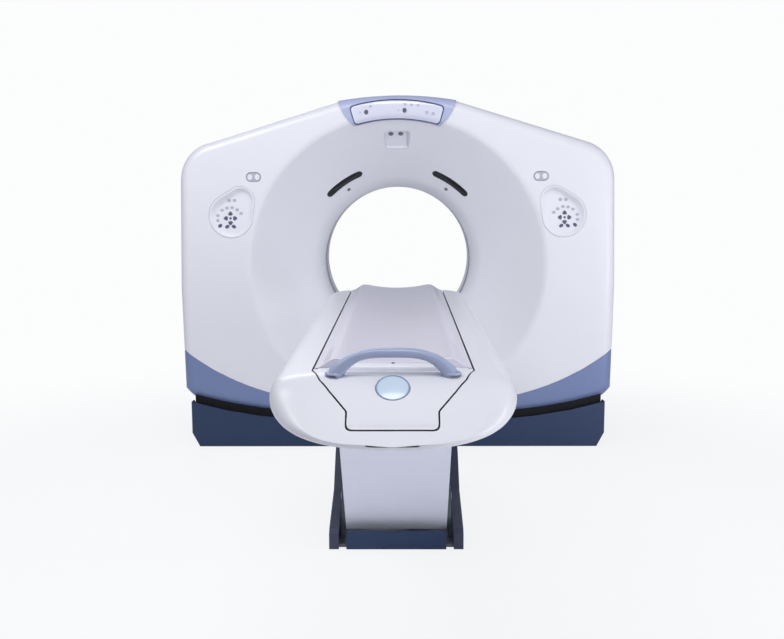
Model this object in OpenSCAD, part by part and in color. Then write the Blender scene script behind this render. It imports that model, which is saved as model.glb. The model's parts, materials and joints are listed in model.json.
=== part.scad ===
// Tilting-gantry CT scanner with a motorised patient table.
// Frame: X to the right, Y from the table's foot end towards the gantry, Z up.
// The origin is on the floor, at the middle of the plan outline. Sizes in millimetres.

/* [Overall] */
// Overall length, foot of the table to the rear of the gantry base
overall_l = 3780; // [3780:10:4200]
// Width of the gantry covers
gantry_w = 2240; // [2240:10:2500]
// Depth of the gantry covers, front face to rear face
gantry_d = 1000; // [1000:10:1100]
// Height of the crown of the gantry above the floor
gantry_h = 1795; // [1795:5:2000]
// Height of the bore's centre above the floor
iso_z = 945; // [935:5:1000]

/* [Bore and covers] */
// Diameter of the patient bore
bore_d = 800; // [760:5:820]
// Diameter of the front flare where it meets the face
flare_d = 1514; // [1400:2:1530]
// Diameter of the rear flare where it meets the rear face
rear_flare_d = 1300; // [1100:10:1400]
// Wall thickness of the moulded covers
cover_t = 8; // [5:1:10]
// Bevel on the outer edges of the front and rear covers
cover_bevel = 42; // [20:2:50]
// Depth of the front and rear covers' side walls
cover_wrap = 120; // [100:5:160]
// Slope of the roof down to the shoulders
roof_deg = 17; // [16:0.5:20]
// Slope of the flares away from the bore's axis
flare_deg = 45; // [44:0.5:46]
// Radius that blends the flares into the bore
flare_blend_r = 200; // [180:5:210]
// Radius of the shoulders
shoulder_r = 200; // [120:5:220]
// Height of the covers' lower edge at the middle
hem_mid_z = 155; // [150:1:175]
// Height of the covers' lower edge at the sides
hem_side_z = 262; // [240:2:300]
// Height of the coloured lower band at the middle
band_mid_z = 220; // [200:2:260]
// Height of the coloured lower band at the sides
band_side_z = 520; // [450:5:600]
// Gap between neighbouring covers
cover_gap = 0.8; // [0.5:0.1:1.5]

/* [Display and controls] */
// Half angle of the display panel seen from the bore's centre
display_half_deg = 17.5; // [14:0.5:19]
// Half width of the display bezel at its top
bezel_half_w = 300; // [280:5:330]
// Distance of the control pads from the centre line
pad_x = 846; // [800:2:880]
// Height of the control pads above the bore's centre
pad_z = 272; // [200:2:290]
// Distance of the call buttons from the centre line
call_x = 726; // [700:2:780]
// Height of the call buttons above the bore's centre
call_z = 450; // [400:2:460]

/* [Gantry base] */
// Half width of the base covers
base_half_w = 1070; // [1050:2:1070]
// How far the base covers stand out past the gantry faces
base_lip = 30; // [28:1:60]
// Gap between the tilting covers and the base covers
base_gap = 20; // [20:1:40]
// Thickness of the base side plates
base_plate_t = 22; // [20:1:24]
// Height of the levelling feet
foot_h = 20; // [18:1:22]
// Spacing of the gantry's floor anchors across the gantry
anchor_x = 1720; // [1600:10:1760]
// Spacing of the gantry's floor anchors along the gantry
anchor_y = 780; // [700:10:800]
// Diameter of every floor anchor hole
anchor_d = 18; // [14:1:22]

/* [Rotating ring] */
// Outer radius of the rotating drum
drum_r = 755; // [720:5:755]
// Radius of the hub sleeve's outside
hub_r = 455; // [445:1:460]
// Radius of the motor pulley
pulley_r = 45; // [40:1:55]
// Thickness of the drive belt
belt_t = 5; // [4:1:6]
// Running gap between a belt, ring or roller and what it runs on
run_gap = 0.3; // [0.2:0.1:0.5]

/* [Table] */
// Width of the table's cover
table_w = 630; // [625:5:660]
// Length of the table's cover
table_l = 2240; // [2200:10:2400]
// Height of the table's top edge at rest
table_z = 875; // [865:5:900]
// Depth of the table's cover
shell_h = 140; // [130:5:150]
// Length of the sloping nose at the foot end
nose_l = 190; // [160:5:230]
// How far the nose drops at its tip
nose_drop = 130; // [110:5:131]
// Wall thickness of the table's cover
shell_t = 8; // [6:1:10]
// Width of the sliding cradle
cradle_w = 430; // [410:5:440]
// Gap between the cradle and the table's cover
cradle_gap = 5; // [3:1:8]
// Width of the cover panel on the front lift arm
panel_w = 380; // [380:5:386]

/* [Lift] */
// Distance between an arm's two pivots
arm_l = 700; // [690:5:720]
// Distance between the front and the rear arms' pivots
arm_gap = 450; // [440:5:480]
// Slope of the arms above the floor at rest
arm_rest_deg = 51; // [49:1:53]
// Height of the lower pivots
pivot_z = 165; // [160:1:175]
// Radius of the lift pivot pins
pin_r = 15; // [14:1:18]

/* [Fits] */
// Radial clearance of a shaft in its bearing
shaft_clear = 0.05; // [0.03:0.01:0.08]
// Radial clearance of a pinned or bolted joint that does not turn
seat_clear = 0.1; // [0.05:0.05:0.3]

/* [Hidden] */
$fn = 96;

half_l = overall_l / 2;
half_w = gantry_w / 2;
half_d = gantry_d / 2;
iso_y = half_l - base_lip - half_d;
bore_r = bore_d / 2;
tip_y = -half_l;
over = 1;

// ---------- helpers ----------
// Moves a shape drawn about the bore's centre to its place
module at_iso() { translate([0, iso_y, iso_z]) children(); }
// Extrudes an outline drawn in X and Z from y0 to y1
module along_y(y0, y1) { translate([0, y1, 0]) rotate([90, 0, 0]) linear_extrude(y1 - y0) children(); }
// Extrudes an outline drawn in Y and Z from x0 to x1
module along_x(x0, x1) { translate([x0, 0, 0]) rotate([90, 0, 90]) linear_extrude(x1 - x0) children(); }
// Turns a section drawn as radius and Y about the Y axis
module ring_y() { rotate([-90, 0, 0]) rotate_extrude($fn = 180) children(); }
// The same for the angles from a0 to a1, measured from straight up towards +X
module sector_y(a0, a1) {
    rotate([-90, 0, 0]) rotate([0, 0, a0 - 90]) rotate_extrude(angle = a1 - a0, $fn = 360) children();
}
module rod_y(r, y0, y1) { translate([0, y0, 0]) rotate([-90, 0, 0]) cylinder(r = r, h = y1 - y0); }
module rod_x(r, x0, x1) { translate([x0, 0, 0]) rotate([0, 90, 0]) cylinder(r = r, h = x1 - x0); }
module block(x0, x1, y0, y1, z0, z1) { translate([x0, y0, z0]) cube([x1 - x0, y1 - y0, z1 - z0]); }
// A shape and its mirror image in the middle plane
module both_sides() {
    children();
    mirror([1, 0, 0]) children();
}
function mirrored(p) = [for (i = [len(p) - 1 : -1 : 0]) [-p[i][0], p[i][1]]];

// ---------- gear teeth ----------
function inv_deg(a) = tan(a) * 180 / PI - a;
// Half of a tooth's angle at radius r, for n teeth of module m
function tooth_half(n, m, r) = 90 / n * 0.9 + inv_deg(20)
    - inv_deg(acos(min(1, m * n / 2 * cos(20) / r)));
function polar(r, a) = [r * cos(a), r * sin(a)];
// Teeth first to last of a gear with n teeth, tooth 0 on the first axis
function teeth_points(n, m, first, last) = let (rp = m * n / 2, radii = [rp - 1.2 * m, rp, rp + 0.85 * m])
    [for (i = [first : last])
        for (k = [-2 : 1 : 3])
            let (r = radii[k <= 0 ? k + 2 : 3 - k], side = k <= 0 ? -1 : 1)
            polar(r, i * 360 / n + side * tooth_half(n, m, max(r, m * n / 2 * cos(20))))];

// ---------- gantry outline, about the bore's centre ----------
crown_half_w = 300;
crown_drop = 25;
hem_half_w = half_w - 49;
side_low_inset = 10;
side_low_rise = 40;
side_top_inset = 16;
roof_normal = [sin(roof_deg), cos(roof_deg)];
crown_corner = [crown_half_w, gantry_h - crown_drop - iso_z];
shoulder_x = half_w - side_top_inset - shoulder_r;
shoulder_y = (roof_normal * crown_corner - shoulder_r - roof_normal[0] * shoulder_x) / roof_normal[1];
function hem_z(x) = hem_mid_z + (hem_side_z - hem_mid_z) * pow(min(abs(x) / hem_half_w, 1), 3);
function band_z(x) = band_mid_z + (band_side_z - band_mid_z) * pow(abs(x) / half_w, 3);
hem_steps = 10;
right_outline = concat(
    [for (i = [0 : hem_steps]) let (x = hem_half_w * i / hem_steps) [x, hem_z(x) - iso_z]],
    [[half_w - side_low_inset, hem_side_z + side_low_rise - iso_z], [half_w, 0]],
    [for (i = [0 : 9]) [shoulder_x, shoulder_y] + polar(shoulder_r, (90 - roof_deg) * i / 10)],
    [[shoulder_x, shoulder_y] + shoulder_r * roof_normal],
    [for (i = [5 : -1 : 0]) let (x = crown_half_w * i / 5)
        [x, gantry_h - iso_z - crown_drop * pow(i / 5, 2)]]);
module gantry_outline(inset = 0) {
    offset(delta = -inset) polygon(concat(right_outline, mirrored(right_outline)));
}
// Everything at or under the coloured band's upper edge, moved up by lift
module below_band(lift = 0) {
    edge = [for (i = [-12 : 12]) let (x = half_w * i / 12) [x, band_z(x) - iso_z + lift]];
    polygon(concat([[-half_w - over, -iso_z], [-half_w - over, edge[0][1]]], edge,
        [[half_w + over, edge[24][1]], [half_w + over, -iso_z]]));
}
// A cover's outer form: the outline with a bevelled edge at the face, the face at y = 0
module cover_form(inset, depth) {
    hull() {
        along_y(0, over) gantry_outline(cover_bevel);
        along_y(cover_bevel, depth) gantry_outline(inset);
    }
}

// ---------- flares ----------
// The flare's section as radius and distance from the bore's centre, from the face inwards
// The blend is limited so that it ends before the scan window
function blend_r(mouth_r) = min(flare_blend_r,
    (cone_s(mouth_r, bore_r) - scan_half - cover_gap - cover_t) / tan(flare_deg / 2));
function blend_start(mouth_r) = cone_s(mouth_r, bore_r) - blend_r(mouth_r) * tan(flare_deg / 2);
function cone_s(mouth_r, r) = half_d - (mouth_r - r) / tan(flare_deg);
function flare_section(mouth_r, inner_s) = concat(
    [[mouth_r, half_d]],
    [for (i = [6 : -1 : 0]) let (a = flare_deg * i / 6)
        [bore_r + blend_r(mouth_r) * (1 - cos(a)), blend_start(mouth_r) + blend_r(mouth_r) * sin(a)]],
    [[bore_r, inner_s]]);
scan_half = 45;
flare_r = flare_d / 2;
rear_flare_r = rear_flare_d / 2;
flare_dir = [sin(flare_deg), cos(flare_deg)];
flare_out = [cos(flare_deg), -sin(flare_deg)];
module flare_wall(mouth_r) {
    line = flare_section(mouth_r, scan_half + cover_gap);
    back = [for (i = [len(line) - 1 : -1 : 0]) line[i] + cover_t * (i == len(line) - 1 ? [1, 0] : flare_out)];
    intersection() {
        polygon(concat(line, back));
        square([mouth_r + over, half_d]);
    }
}
module flare_void(mouth_r) {
    line = flare_section(mouth_r, 0);
    polygon(concat([[0, half_d + over], [mouth_r + over * tan(flare_deg), half_d + over]], line, [[0, 0]]));
}
// A rectangle on the flare's cone: centre radius, half length, and depths under the surface
module cone_patch(r, half_len, d0, d1) {
    c = [r, cone_s(flare_r, r)];
    p = [[-half_len, d0], [half_len, d0], [half_len, d1], [-half_len, d1]];
    mirror([0, 1]) polygon([for (q = p) c + q[0] * flare_dir + q[1] * flare_out]);
}
laser_r = 508;
laser_half_len = 22;
laser_from = 21.5;
laser_to = 46.5;
laser_sink = 2;
laser_back = 14;
pod_r = 640;
pod_half = 62;
pod_corner = 20;
pod_sink = 4;
pod_back = 22;
module pod_outline(grow) {
    translate([-pod_half - grow, -pod_half - grow]) translate([pod_corner, pod_corner])
        minkowski() { square(2 * (pod_half + grow - pod_corner)); circle(pod_corner, $fn = 32); }
}
module at_pod() { translate([0, -cone_s(flare_r, pod_r), pod_r]) rotate([180 - flare_deg, 0, 0]) children(); }

// ---------- display, pads and call buttons, about the bore's centre ----------
display_in_r = flare_r;
display_out_r = flare_r + 75;
bezel_in_r = flare_r - 15;
bezel_proud = 6;
bezel_t = 12;
display_proud = 9;
bezel_foot_half_w = bezel_half_w * 0.76;
module bezel_outline(grow = 0) {
    foot_z = sqrt(pow(bezel_in_r, 2) - pow(bezel_foot_half_w, 2));
    difference() {
        polygon([[-bezel_foot_half_w - grow, foot_z - over], [bezel_foot_half_w + grow, foot_z - over],
            [bezel_half_w + grow, gantry_h - iso_z + over], [-bezel_half_w - grow, gantry_h - iso_z + over]]);
        circle(bezel_in_r - grow, $fn = 360);
    }
}
module display_section(grow) {
    translate([display_in_r - grow, -half_d - display_proud])
        square([display_out_r - display_in_r + 2 * grow, display_proud + 14]);
}
module pad_outline(inset) {
    offset(delta = -inset) hull() {
        translate([0, -18]) circle(112);
        translate([-45, 70]) circle(60);
    }
}
pad_depth = 34;
pad_sink = 18;
module call_outline(inset) {
    hull() for (side = [-1, 1]) translate([side * 14, 0]) circle(23 - inset);
}

// ---------- rotating ring ----------
drum_y = 60;
drum_t = 30;
rim_t = 15;
rim_front = 40;
hub_in_r = 425;
hub_back = 232;
race_y0 = drum_y + drum_t;
race_y1 = 150;
race_split_r = 492;
race_out_r = 530;
frame_t = 40;
frame_y1 = race_y1 + frame_t;
frame_in_r = 478;
frame_out_r = 830;
belt_y0 = 46;
belt_y1 = 86;
motor_deg = 135;
motor_dist = 933;
rail_x = 800;
rail_half = 15;
rail_low_z = -500;
rail_high_z = 500;
motor_bracket_r = 90;
motor_hole_r = 30;
rail_root_x = 600;
rail_root_w = 120;

module at_motor() {
    translate([motor_dist * sin(motor_deg), 0, motor_dist * cos(motor_deg)]) children();
}

// ---------- tilt ----------
trunnion_r = 50;
ear_x0 = 868;
ear_x1 = 890;
ear_half = 160;
post_x0 = 920;
post_x1 = 1010;
bearing_out_r = 80;
housing_r = 140;
neck_half = 126;
neck_drop = 60;
sector_m = 3;
sector_teeth = 200;
sector_first = -26;
sector_last = 26;
sector_r = sector_m * sector_teeth / 2;
sector_x0 = ear_x1;
sector_x1 = sector_x0 + 18;
tilt_pinion_teeth = 24;
tilt_pinion_r = sector_m * tilt_pinion_teeth / 2;
pinion_z = -(sector_r + tilt_pinion_r);
gearmotor_r = 60;
plate_half_y = half_d - 70;
notch_side = 20;

// ---------- table ----------
table_half = table_w / 2;
end_y = tip_y + table_l;
floor_z = table_z - shell_h;
nose_flat_half = 70;
nose_round = 260;
rim_inset = 30;
foot_inset = 12;
taper_y0 = tip_y + 290;
taper_y1 = tip_y + 93;
taper_end = tip_y + 45;
taper_half = 113;
cradle_half = cradle_w / 2;
channel_z = table_z - 95;
cradle_low_z = table_z - 40;
runner_x0 = 150;
runner_x1 = 180;
runner_z = channel_z + 2;
ridge_x = 150;
ridge_rise = 25;
trough_r = 480;

// ---------- lift ----------
front_y = -470;
rear_y = front_y + arm_gap;
arm_dir = [-cos(arm_rest_deg), sin(arm_rest_deg)];
top_pivot_z = pivot_z + arm_l * arm_dir[1];
front_top_y = front_y + arm_l * arm_dir[0];
rear_top_y = rear_y + arm_l * arm_dir[0];
lug_x0 = 195;
lug_x1 = 209;
boss_r = 38;
lift_m = 3;
lift_teeth = 90;
lift_pinion_teeth = 15;
lift_r = lift_m * lift_teeth / 2;
lift_pinion_r = lift_m * lift_pinion_teeth / 2;
lift_pinion_y = front_y + lift_r + lift_pinion_r;
base_plate_z = 10;
base_plate_top = 22;
skirt_y0 = front_top_y - 240;
skirt_y1 = rear_top_y + 200;
skirt_half = 240;
skirt_wall = 8;
frame_plate_t = 12;
frame_plate_z = floor_z + shell_t;
// Puts a shape drawn in Y and Z, with the arm along the first axis, at a lower pivot
module at_arm(y) { translate([0, y, pivot_z]) rotate([180 - arm_rest_deg, 0, 0]) children(); }

// ---------- gantry, fixed pieces ----------
beam_h = 80;
beam_d = 70;
beam_wall = 6;
anchor_lug_half = 60;
standoff_x = 500;
module cross_beam(y0) {
    difference() {
        block(-post_x1, post_x1, y0, y0 + beam_d, foot_h, foot_h + beam_h);
        block(-post_x1 - over, post_x1 + over, y0 + beam_wall, y0 + beam_d - beam_wall,
            foot_h + beam_wall, foot_h + beam_h - beam_wall);
    }
}
module gantry_base_frame() {
    color("dimgray") translate([0, iso_y, 0]) difference() {
        union() {
            cross_beam(-half_d);
            cross_beam(half_d - beam_d);
            both_sides() {
                block(post_x0 - 40, post_x1, -plate_half_y, plate_half_y, foot_h, foot_h + base_plate_t);
                for (side = [-1, 1])
                    block(anchor_x / 2 - anchor_lug_half, anchor_x / 2 + anchor_lug_half,
                        side * anchor_y / 2 - 45, side * anchor_y / 2 + 45, foot_h, foot_h + base_plate_t);
            }
            for (x = [-standoff_x, standoff_x]) for (side = [-1, 1])
                translate([x, side * (base_y0 - base_cover_t + half_d) / 2, foot_h + 30])
                    cube([60, base_y0 - base_cover_t - half_d, 40], center = true);
        }
        for (x = [-1, 1]) for (y = [-1, 1])
            translate([x * anchor_x / 2, y * anchor_y / 2, 0])
                cylinder(d = anchor_d, h = foot_h + beam_h + over);
    }
}

foot_pad_r = 45;
table_foot_x = 150;
table_foot_r = 30;
module levelling_feet() {
    color("gray") {
        for (x = [-900, 0, 900]) for (side = [-1, 1])
            translate([x, iso_y + side * (half_d - beam_d / 2), 0]) cylinder(r = foot_pad_r, h = foot_h);
        for (x = [-1, 1]) for (y = [front_y - 60, rear_y + 200])
            translate([x * table_foot_x, y, 0]) cylinder(r = table_foot_r, h = base_plate_z);
    }
}

post_waist_half = 28;
post_top_half = 200;
post_waist_z = 180;
post_shoulder_z = 640;
module stanchion() {
    base_z = foot_h + base_plate_t - iso_z;
    difference() {
        union() {
            along_x(post_x0, post_x1) {
                polygon([[-post_waist_half, base_z], [post_waist_half, base_z],
                    [post_waist_half, post_waist_z - iso_z], [post_top_half, post_shoulder_z - iso_z],
                    [neck_half, -neck_drop], [-neck_half, -neck_drop],
                    [-post_top_half, post_shoulder_z - iso_z], [-post_waist_half, post_waist_z - iso_z]]);
            }
            rod_x(housing_r, post_x0, post_x1);
        }
        rod_x(bearing_out_r + shaft_clear, post_x0 - over, post_x1 + over);
        translate([0, 0, pinion_z]) rod_x(gearmotor_r - 20, post_x0 - over, post_x1 + over);
    }
}
module stanchions() { color("slategray") at_iso() both_sides() stanchion(); }

module tilt_bearings() {
    color("silver") at_iso() both_sides() difference() {
        rod_x(bearing_out_r, post_x0 + 5, post_x1 - 5);
        rod_x(trunnion_r + shaft_clear, post_x0, post_x1);
    }
}

base_cover_t = 6;
base_low_z = 5;
base_chamfer = 38;
base_chamfer_z = 78;
base_y0 = half_d + base_lip;
duct_half = 125;
duct_h = 45;
module base_face(y0, y1) {
    top = [for (i = [0 : 12]) let (x = base_half_w * (1 - i / 6)) [x, hem_z(x) - base_gap]];
    along_y(y0, y1) polygon(concat([[-base_half_w + base_chamfer, base_low_z],
        [base_half_w - base_chamfer, base_low_z], [base_half_w, base_chamfer_z]], top,
        [[-base_half_w, base_chamfer_z]]));
}
module base_front_cover() {
    color("midnightblue") translate([0, iso_y, 0]) difference() {
        base_face(-base_y0, -base_y0 + base_cover_t);
        block(-duct_half - run_gap, duct_half + run_gap, -base_y0 - over, -half_d, 0, duct_h + run_gap);
    }
}
module base_rear_cover() {
    color("midnightblue") translate([0, iso_y, 0]) base_face(base_y0 - base_cover_t, base_y0);
}
module base_side_covers() {
    swing_r = sqrt(pow(half_d, 2) + pow(iso_z - hem_z(base_half_w), 2)) + base_cover_t;
    reach = base_y0 - base_cover_t - cover_gap / 2;
    color("midnightblue") translate([0, iso_y, 0]) both_sides() difference() {
        union() {
            block(base_half_w - base_cover_t, base_half_w, -reach, reach,
                base_chamfer_z, hem_z(base_half_w) - base_gap);
            along_y(-reach, reach) polygon([[base_half_w, base_chamfer_z],
                [base_half_w - base_cover_t, base_chamfer_z],
                [base_half_w - base_chamfer - base_cover_t, base_low_z],
                [base_half_w - base_chamfer, base_low_z]]);
        }
        translate([0, 0, iso_z]) rod_x(swing_r, base_half_w - 2 * base_cover_t, base_half_w + base_cover_t);
    }
}

gearmotor_len = 78;
module tilt_gearmotor() {
    color("dimgray") at_iso() translate([0, 0, pinion_z]) {
        rod_x(gearmotor_r, post_x1, post_x1 + gearmotor_len);
        rod_x(16, sector_x0 - 4, post_x1 + over);
    }
}

module floor_cable_duct() {
    y1 = iso_y - base_y0 + base_cover_t;
    y0 = rear_y + plate_tail;
    wall = 3;
    color("slategray") difference() {
        block(-duct_half, duct_half, y0, y1, 0, duct_h);
        block(-duct_half + wall, duct_half - wall, y0 - over, y1 + over, -over, duct_h - wall);
    }
}

// ---------- gantry, tilting pieces ----------
module frame_outline() {
    difference() {
        union() {
            circle(frame_out_r, $fn = 180);
            square([2 * ear_x1, 2 * ear_half], center = true);
            for (x = [-1, 1]) {
                hull() {
                    translate([x * rail_x, rail_high_z]) square(2 * rail_half + 20, center = true);
                    translate([x * rail_root_x, rail_high_z - 100]) square(rail_root_w, center = true);
                }
                hull() {
                    translate([x * rail_x, rail_low_z]) square(2 * rail_half + 20, center = true);
                    translate([x * rail_root_x, rail_low_z + 60]) square(rail_root_w, center = true);
                }
            }
            rotate(-motor_deg + 90) translate([frame_in_r, -motor_bracket_r])
                square([motor_dist - frame_in_r, 2 * motor_bracket_r]);
            rotate(-motor_deg + 90) translate([motor_dist, 0]) circle(motor_bracket_r);
        }
        circle(frame_in_r, $fn = 180);
        rotate(-motor_deg + 90) translate([motor_dist, 0]) circle(motor_hole_r);
        for (x = [-1, 1]) for (z = [rail_low_z, rail_high_z])
            translate([x * rail_x, z]) square(2 * (rail_half + seat_clear), center = true);
    }
}
module tilt_frame() {
    color("silver") at_iso() difference() {
        union() {
            along_y(race_y1, frame_y1) frame_outline();
            both_sides() along_x(ear_x0, ear_x1)
                polygon([[-120, -ear_half], [frame_y1, -ear_half], [frame_y1, ear_half], [-120, ear_half]]);
        }
        both_sides() rod_x(trunnion_r, ear_x0 - over, ear_x1 + over);
    }
}

trunnion_flange_r = 90;
module tilt_trunnions() {
    color("gray") at_iso() both_sides() {
        rod_x(trunnion_r, ear_x0, post_x1 - 5);
        rod_x(trunnion_flange_r, ear_x1, ear_x1 + 10);
    }
}

sector_hub_r = 150;
module tilt_sector_gear() {
    teeth = teeth_points(sector_teeth, sector_m, sector_first, sector_last);
    edge_deg = sector_last * 360 / sector_teeth + 4;
    color("darkgray") at_iso() difference() {
        along_x(sector_x0, sector_x1) rotate(-90) difference() {
            polygon(concat([polar(trunnion_flange_r, -edge_deg - 20), polar(sector_r - 25, -edge_deg)], teeth,
                [polar(sector_r - 25, edge_deg), polar(trunnion_flange_r, edge_deg + 20), [-sector_hub_r, 60],
                [-sector_hub_r, -60]]));
        }
        rod_x(trunnion_flange_r + seat_clear, sector_x0 - over, sector_x1 + over);
    }
}
module tilt_pinion() {
    color("goldenrod") at_iso() translate([0, 0, pinion_z]) difference() {
        along_x(sector_x0 - 2, sector_x1 + 2) rotate(90 + 180 / tilt_pinion_teeth)
            polygon(teeth_points(tilt_pinion_teeth, sector_m, 0, tilt_pinion_teeth - 1));
        rod_x(16 + shaft_clear, sector_x0 - 5, sector_x1 + 5);
    }
}

module bearing_outer_race() {
    color("gainsboro") at_iso() ring_y() translate([race_split_r + shaft_clear, race_y0 + run_gap])
        square([race_out_r - race_split_r, race_y1 - race_y0 - run_gap]);
}

// The full front or rear shell, with its face at y = 0 and open at the back.
// Its lower lip is notched where the posts stand, so that it passes them as it tilts.
module cover_shell() {
    notch_top = hem_side_z + side_low_rise - iso_z;
    difference() {
        cover_form(0, cover_wrap);
        translate([0, cover_t, 0]) cover_form(cover_t, cover_wrap + over);
        both_sides() block(post_x0 - notch_side, post_x1 + notch_side, cover_bevel, cover_wrap + over,
            -iso_z, notch_top);
    }
}
module front_shell() { translate([0, -half_d, 0]) cover_shell(); }
module front_cover() {
    color("lavender") at_iso() difference() {
        union() {
            difference() {
                front_shell();
                mirror([0, 1, 0]) ring_y() flare_void(flare_r);
                along_y(-half_d - over, 0) below_band(cover_gap);
            }
            mirror([0, 1, 0]) ring_y() flare_wall(flare_r);
        }
        along_y(-half_d - display_proud, 0) bezel_outline(cover_gap);
        both_sides() sector_y(laser_from - 0.1, laser_to + 0.1)
            cone_patch(laser_r, laser_half_len + 0.5, -over, laser_back);
        at_pod() translate([0, 0, -pod_back]) linear_extrude(pod_back + 20) pod_outline(0.5);
        both_sides() along_y(-half_d - over, -half_d + pad_depth + over)
            translate([pad_x, pad_z]) pad_outline(0);
        both_sides() along_y(-half_d - over, -half_d + pad_depth)
            translate([call_x, call_z]) call_outline(0);
    }
}
flange_x0 = 620;
flange_x1 = min(hem_half_w, base_half_w - base_cover_t) - 6;
flange_drop = 30;
flange_y = -half_d + 14;
// An inner flange that hangs behind the base covers' front and closes the gap to view
module hem_flange() {
    xs = [for (i = [0 : 8]) flange_x0 + (flange_x1 - flange_x0) * i / 8];
    both_sides() along_y(flange_y, flange_y + 6) polygon(concat(
        [for (x = xs) [x, hem_z(x) - flange_drop - iso_z]],
        [for (i = [8 : -1 : 0]) [xs[i], hem_z(xs[i]) + cover_bevel - iso_z]]));
}
module lower_band() {
    color("lightsteelblue") at_iso() union() {
        intersection() {
            difference() {
                front_shell();
                mirror([0, 1, 0]) ring_y() flare_void(flare_r + cover_t * 2);
            }
            along_y(-half_d - over, 0) below_band();
        }
        hem_flange();
    }
}
vent_w = 14;
vent_pitch = 34;
vent_count = 15;
module rear_cover() {
    color("lavender") at_iso() difference() {
        union() {
            difference() {
                translate([0, half_d, 0]) mirror([0, 1, 0]) cover_shell();
                ring_y() flare_void(rear_flare_r);
            }
            ring_y() flare_wall(rear_flare_r);
        }
        both_sides() for (i = [0 : vent_count - 1])
            translate([480 + i * vent_pitch, half_d - cover_t - over, -560])
                cube([vent_w, cover_t + 2 * over, 120]);
    }
}
module outline_ring() {
    difference() {
        gantry_outline();
        gantry_outline(cover_t);
    }
}
top_split_z = shoulder_y;
module top_cover() {
    reach = half_d - cover_wrap - cover_gap;
    color("lavender") at_iso() along_y(-reach, reach) intersection() {
        outline_ring();
        translate([-half_w - over, top_split_z + cover_gap]) square([2 * (half_w + over), gantry_h]);
    }
}
module side_covers() {
    reach = half_d - cover_wrap - cover_gap;
    low = hem_side_z + side_low_rise - iso_z;
    color("lavender") at_iso() along_y(-reach, reach) intersection() {
        outline_ring();
        translate([-half_w - over, low]) square([2 * (half_w + over), top_split_z - low]);
    }
}
scan_window_t = 4;
window_rest_gap = 0.5;
// How far a cover's wall leaves room for the window's seat as the flare's blend turns away from the bore
function seat_end(mouth_r) = blend_start(mouth_r) + sqrt(2 * window_rest_gap * blend_r(mouth_r)) - 1;
module scan_window() {
    seat_half = min(scan_half + 25, seat_end(flare_r), seat_end(rear_flare_r));
    color("dimgray") at_iso() ring_y() {
        translate([bore_r, -scan_half]) square([scan_window_t, 2 * scan_half]);
        translate([bore_r + cover_t + window_rest_gap, -seat_half]) square([4, 2 * seat_half]);
        translate([bore_r, -scan_half]) square([cover_t + 1, 6]);
        translate([bore_r, scan_half - 6]) square([cover_t + 1, 6]);
    }
}
module display_bezel() {
    color("lightsteelblue") at_iso() difference() {
        intersection() {
            union() {
                along_y(-half_d - bezel_proud, -half_d - bezel_proud + bezel_t) gantry_outline();
                along_y(-half_d - bezel_proud, -half_d + cover_wrap) outline_ring();
            }
            along_y(-half_d - bezel_proud, 0) bezel_outline();
        }
        sector_y(-display_half_deg - 0.1, display_half_deg + 0.1) display_section(0.5);
    }
}
module display_panel() {
    color("lavender") at_iso() sector_y(-display_half_deg, display_half_deg) display_section(0);
}
module sensor_pod() {
    color("lavender") at_iso() at_pod() translate([0, 0, -pod_back])
        linear_extrude(pod_back - pod_sink) pod_outline(0);
}
module laser_windows() {
    color("black") at_iso() both_sides() sector_y(laser_from, laser_to)
        cone_patch(laser_r, laser_half_len, laser_sink, laser_back);
}
module control_pads() {
    color("lavender") at_iso() both_sides() translate([pad_x, 0, pad_z]) difference() {
        along_y(-half_d + 1, -half_d + pad_depth) pad_outline(0.5);
        along_y(-half_d, -half_d + pad_sink) pad_outline(9);
    }
}
module call_button() {
    color("lavender") at_iso() translate([call_x, 0, call_z])
        along_y(-half_d - 5, -half_d + cover_t + 4) call_outline(0.5);
}
module call_button_right() { call_button(); }
module call_button_left() { mirror([1, 0, 0]) call_button(); }

module cover_rails() {
    front = -half_d + cover_t;
    color("silver") at_iso() both_sides() for (z = [rail_low_z, rail_high_z])
        block(rail_x - rail_half, rail_x + rail_half, front, half_d - cover_t, z - rail_half, z + rail_half);
}
rotor_motor_r = 70;
rotor_motor_len = 150;
motor_shaft_r = 14;
module rotor_motor() {
    color("dimgray") at_iso() at_motor() {
        rod_y(rotor_motor_r, frame_y1, frame_y1 + rotor_motor_len);
        rod_y(motor_shaft_r, belt_y0 - 4, frame_y1 + over);
    }
}
module motor_pulley() {
    color("gray") at_iso() at_motor() difference() {
        union() {
            rod_y(pulley_r, belt_y0 - 1, belt_y1 + 1);
            rod_y(pulley_r + belt_t + 2, belt_y0 - 4, belt_y0 - 1);
            rod_y(pulley_r + belt_t + 2, belt_y1 + 1, belt_y1 + 4);
        }
        rod_y(motor_shaft_r + shaft_clear, belt_y0 - 5, belt_y1 + 5);
    }
}
// The belt wraps the drum and the motor pulley, with straight runs between
module drive_belt() {
    big = drum_r + run_gap;
    small = pulley_r + run_gap;
    lap = asin((big - small) / motor_dist);
    run = motor_dist * cos(lap);
    color("black") at_iso() {
        sector_y(motor_deg + 90 - lap, motor_deg + 270 + lap) translate([big, belt_y0])
            square([belt_t, belt_y1 - belt_y0]);
        at_motor() sector_y(motor_deg - 90 + lap, motor_deg + 90 - lap) translate([small, belt_y0])
            square([belt_t, belt_y1 - belt_y0]);
        for (side = [-1, 1]) rotate([0, motor_deg - 90 + side * (90 - lap), 0])
            translate([big, belt_y0, side > 0 ? 0 : -run]) cube([belt_t, belt_y1 - belt_y0, run]);
    }
}
module brush_block() {
    color("dimgray") at_iso() sector_y(-12, 12) translate([hub_r + 20 + run_gap, frame_y1])
        square([60, hub_back - frame_y1]);
}

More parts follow.
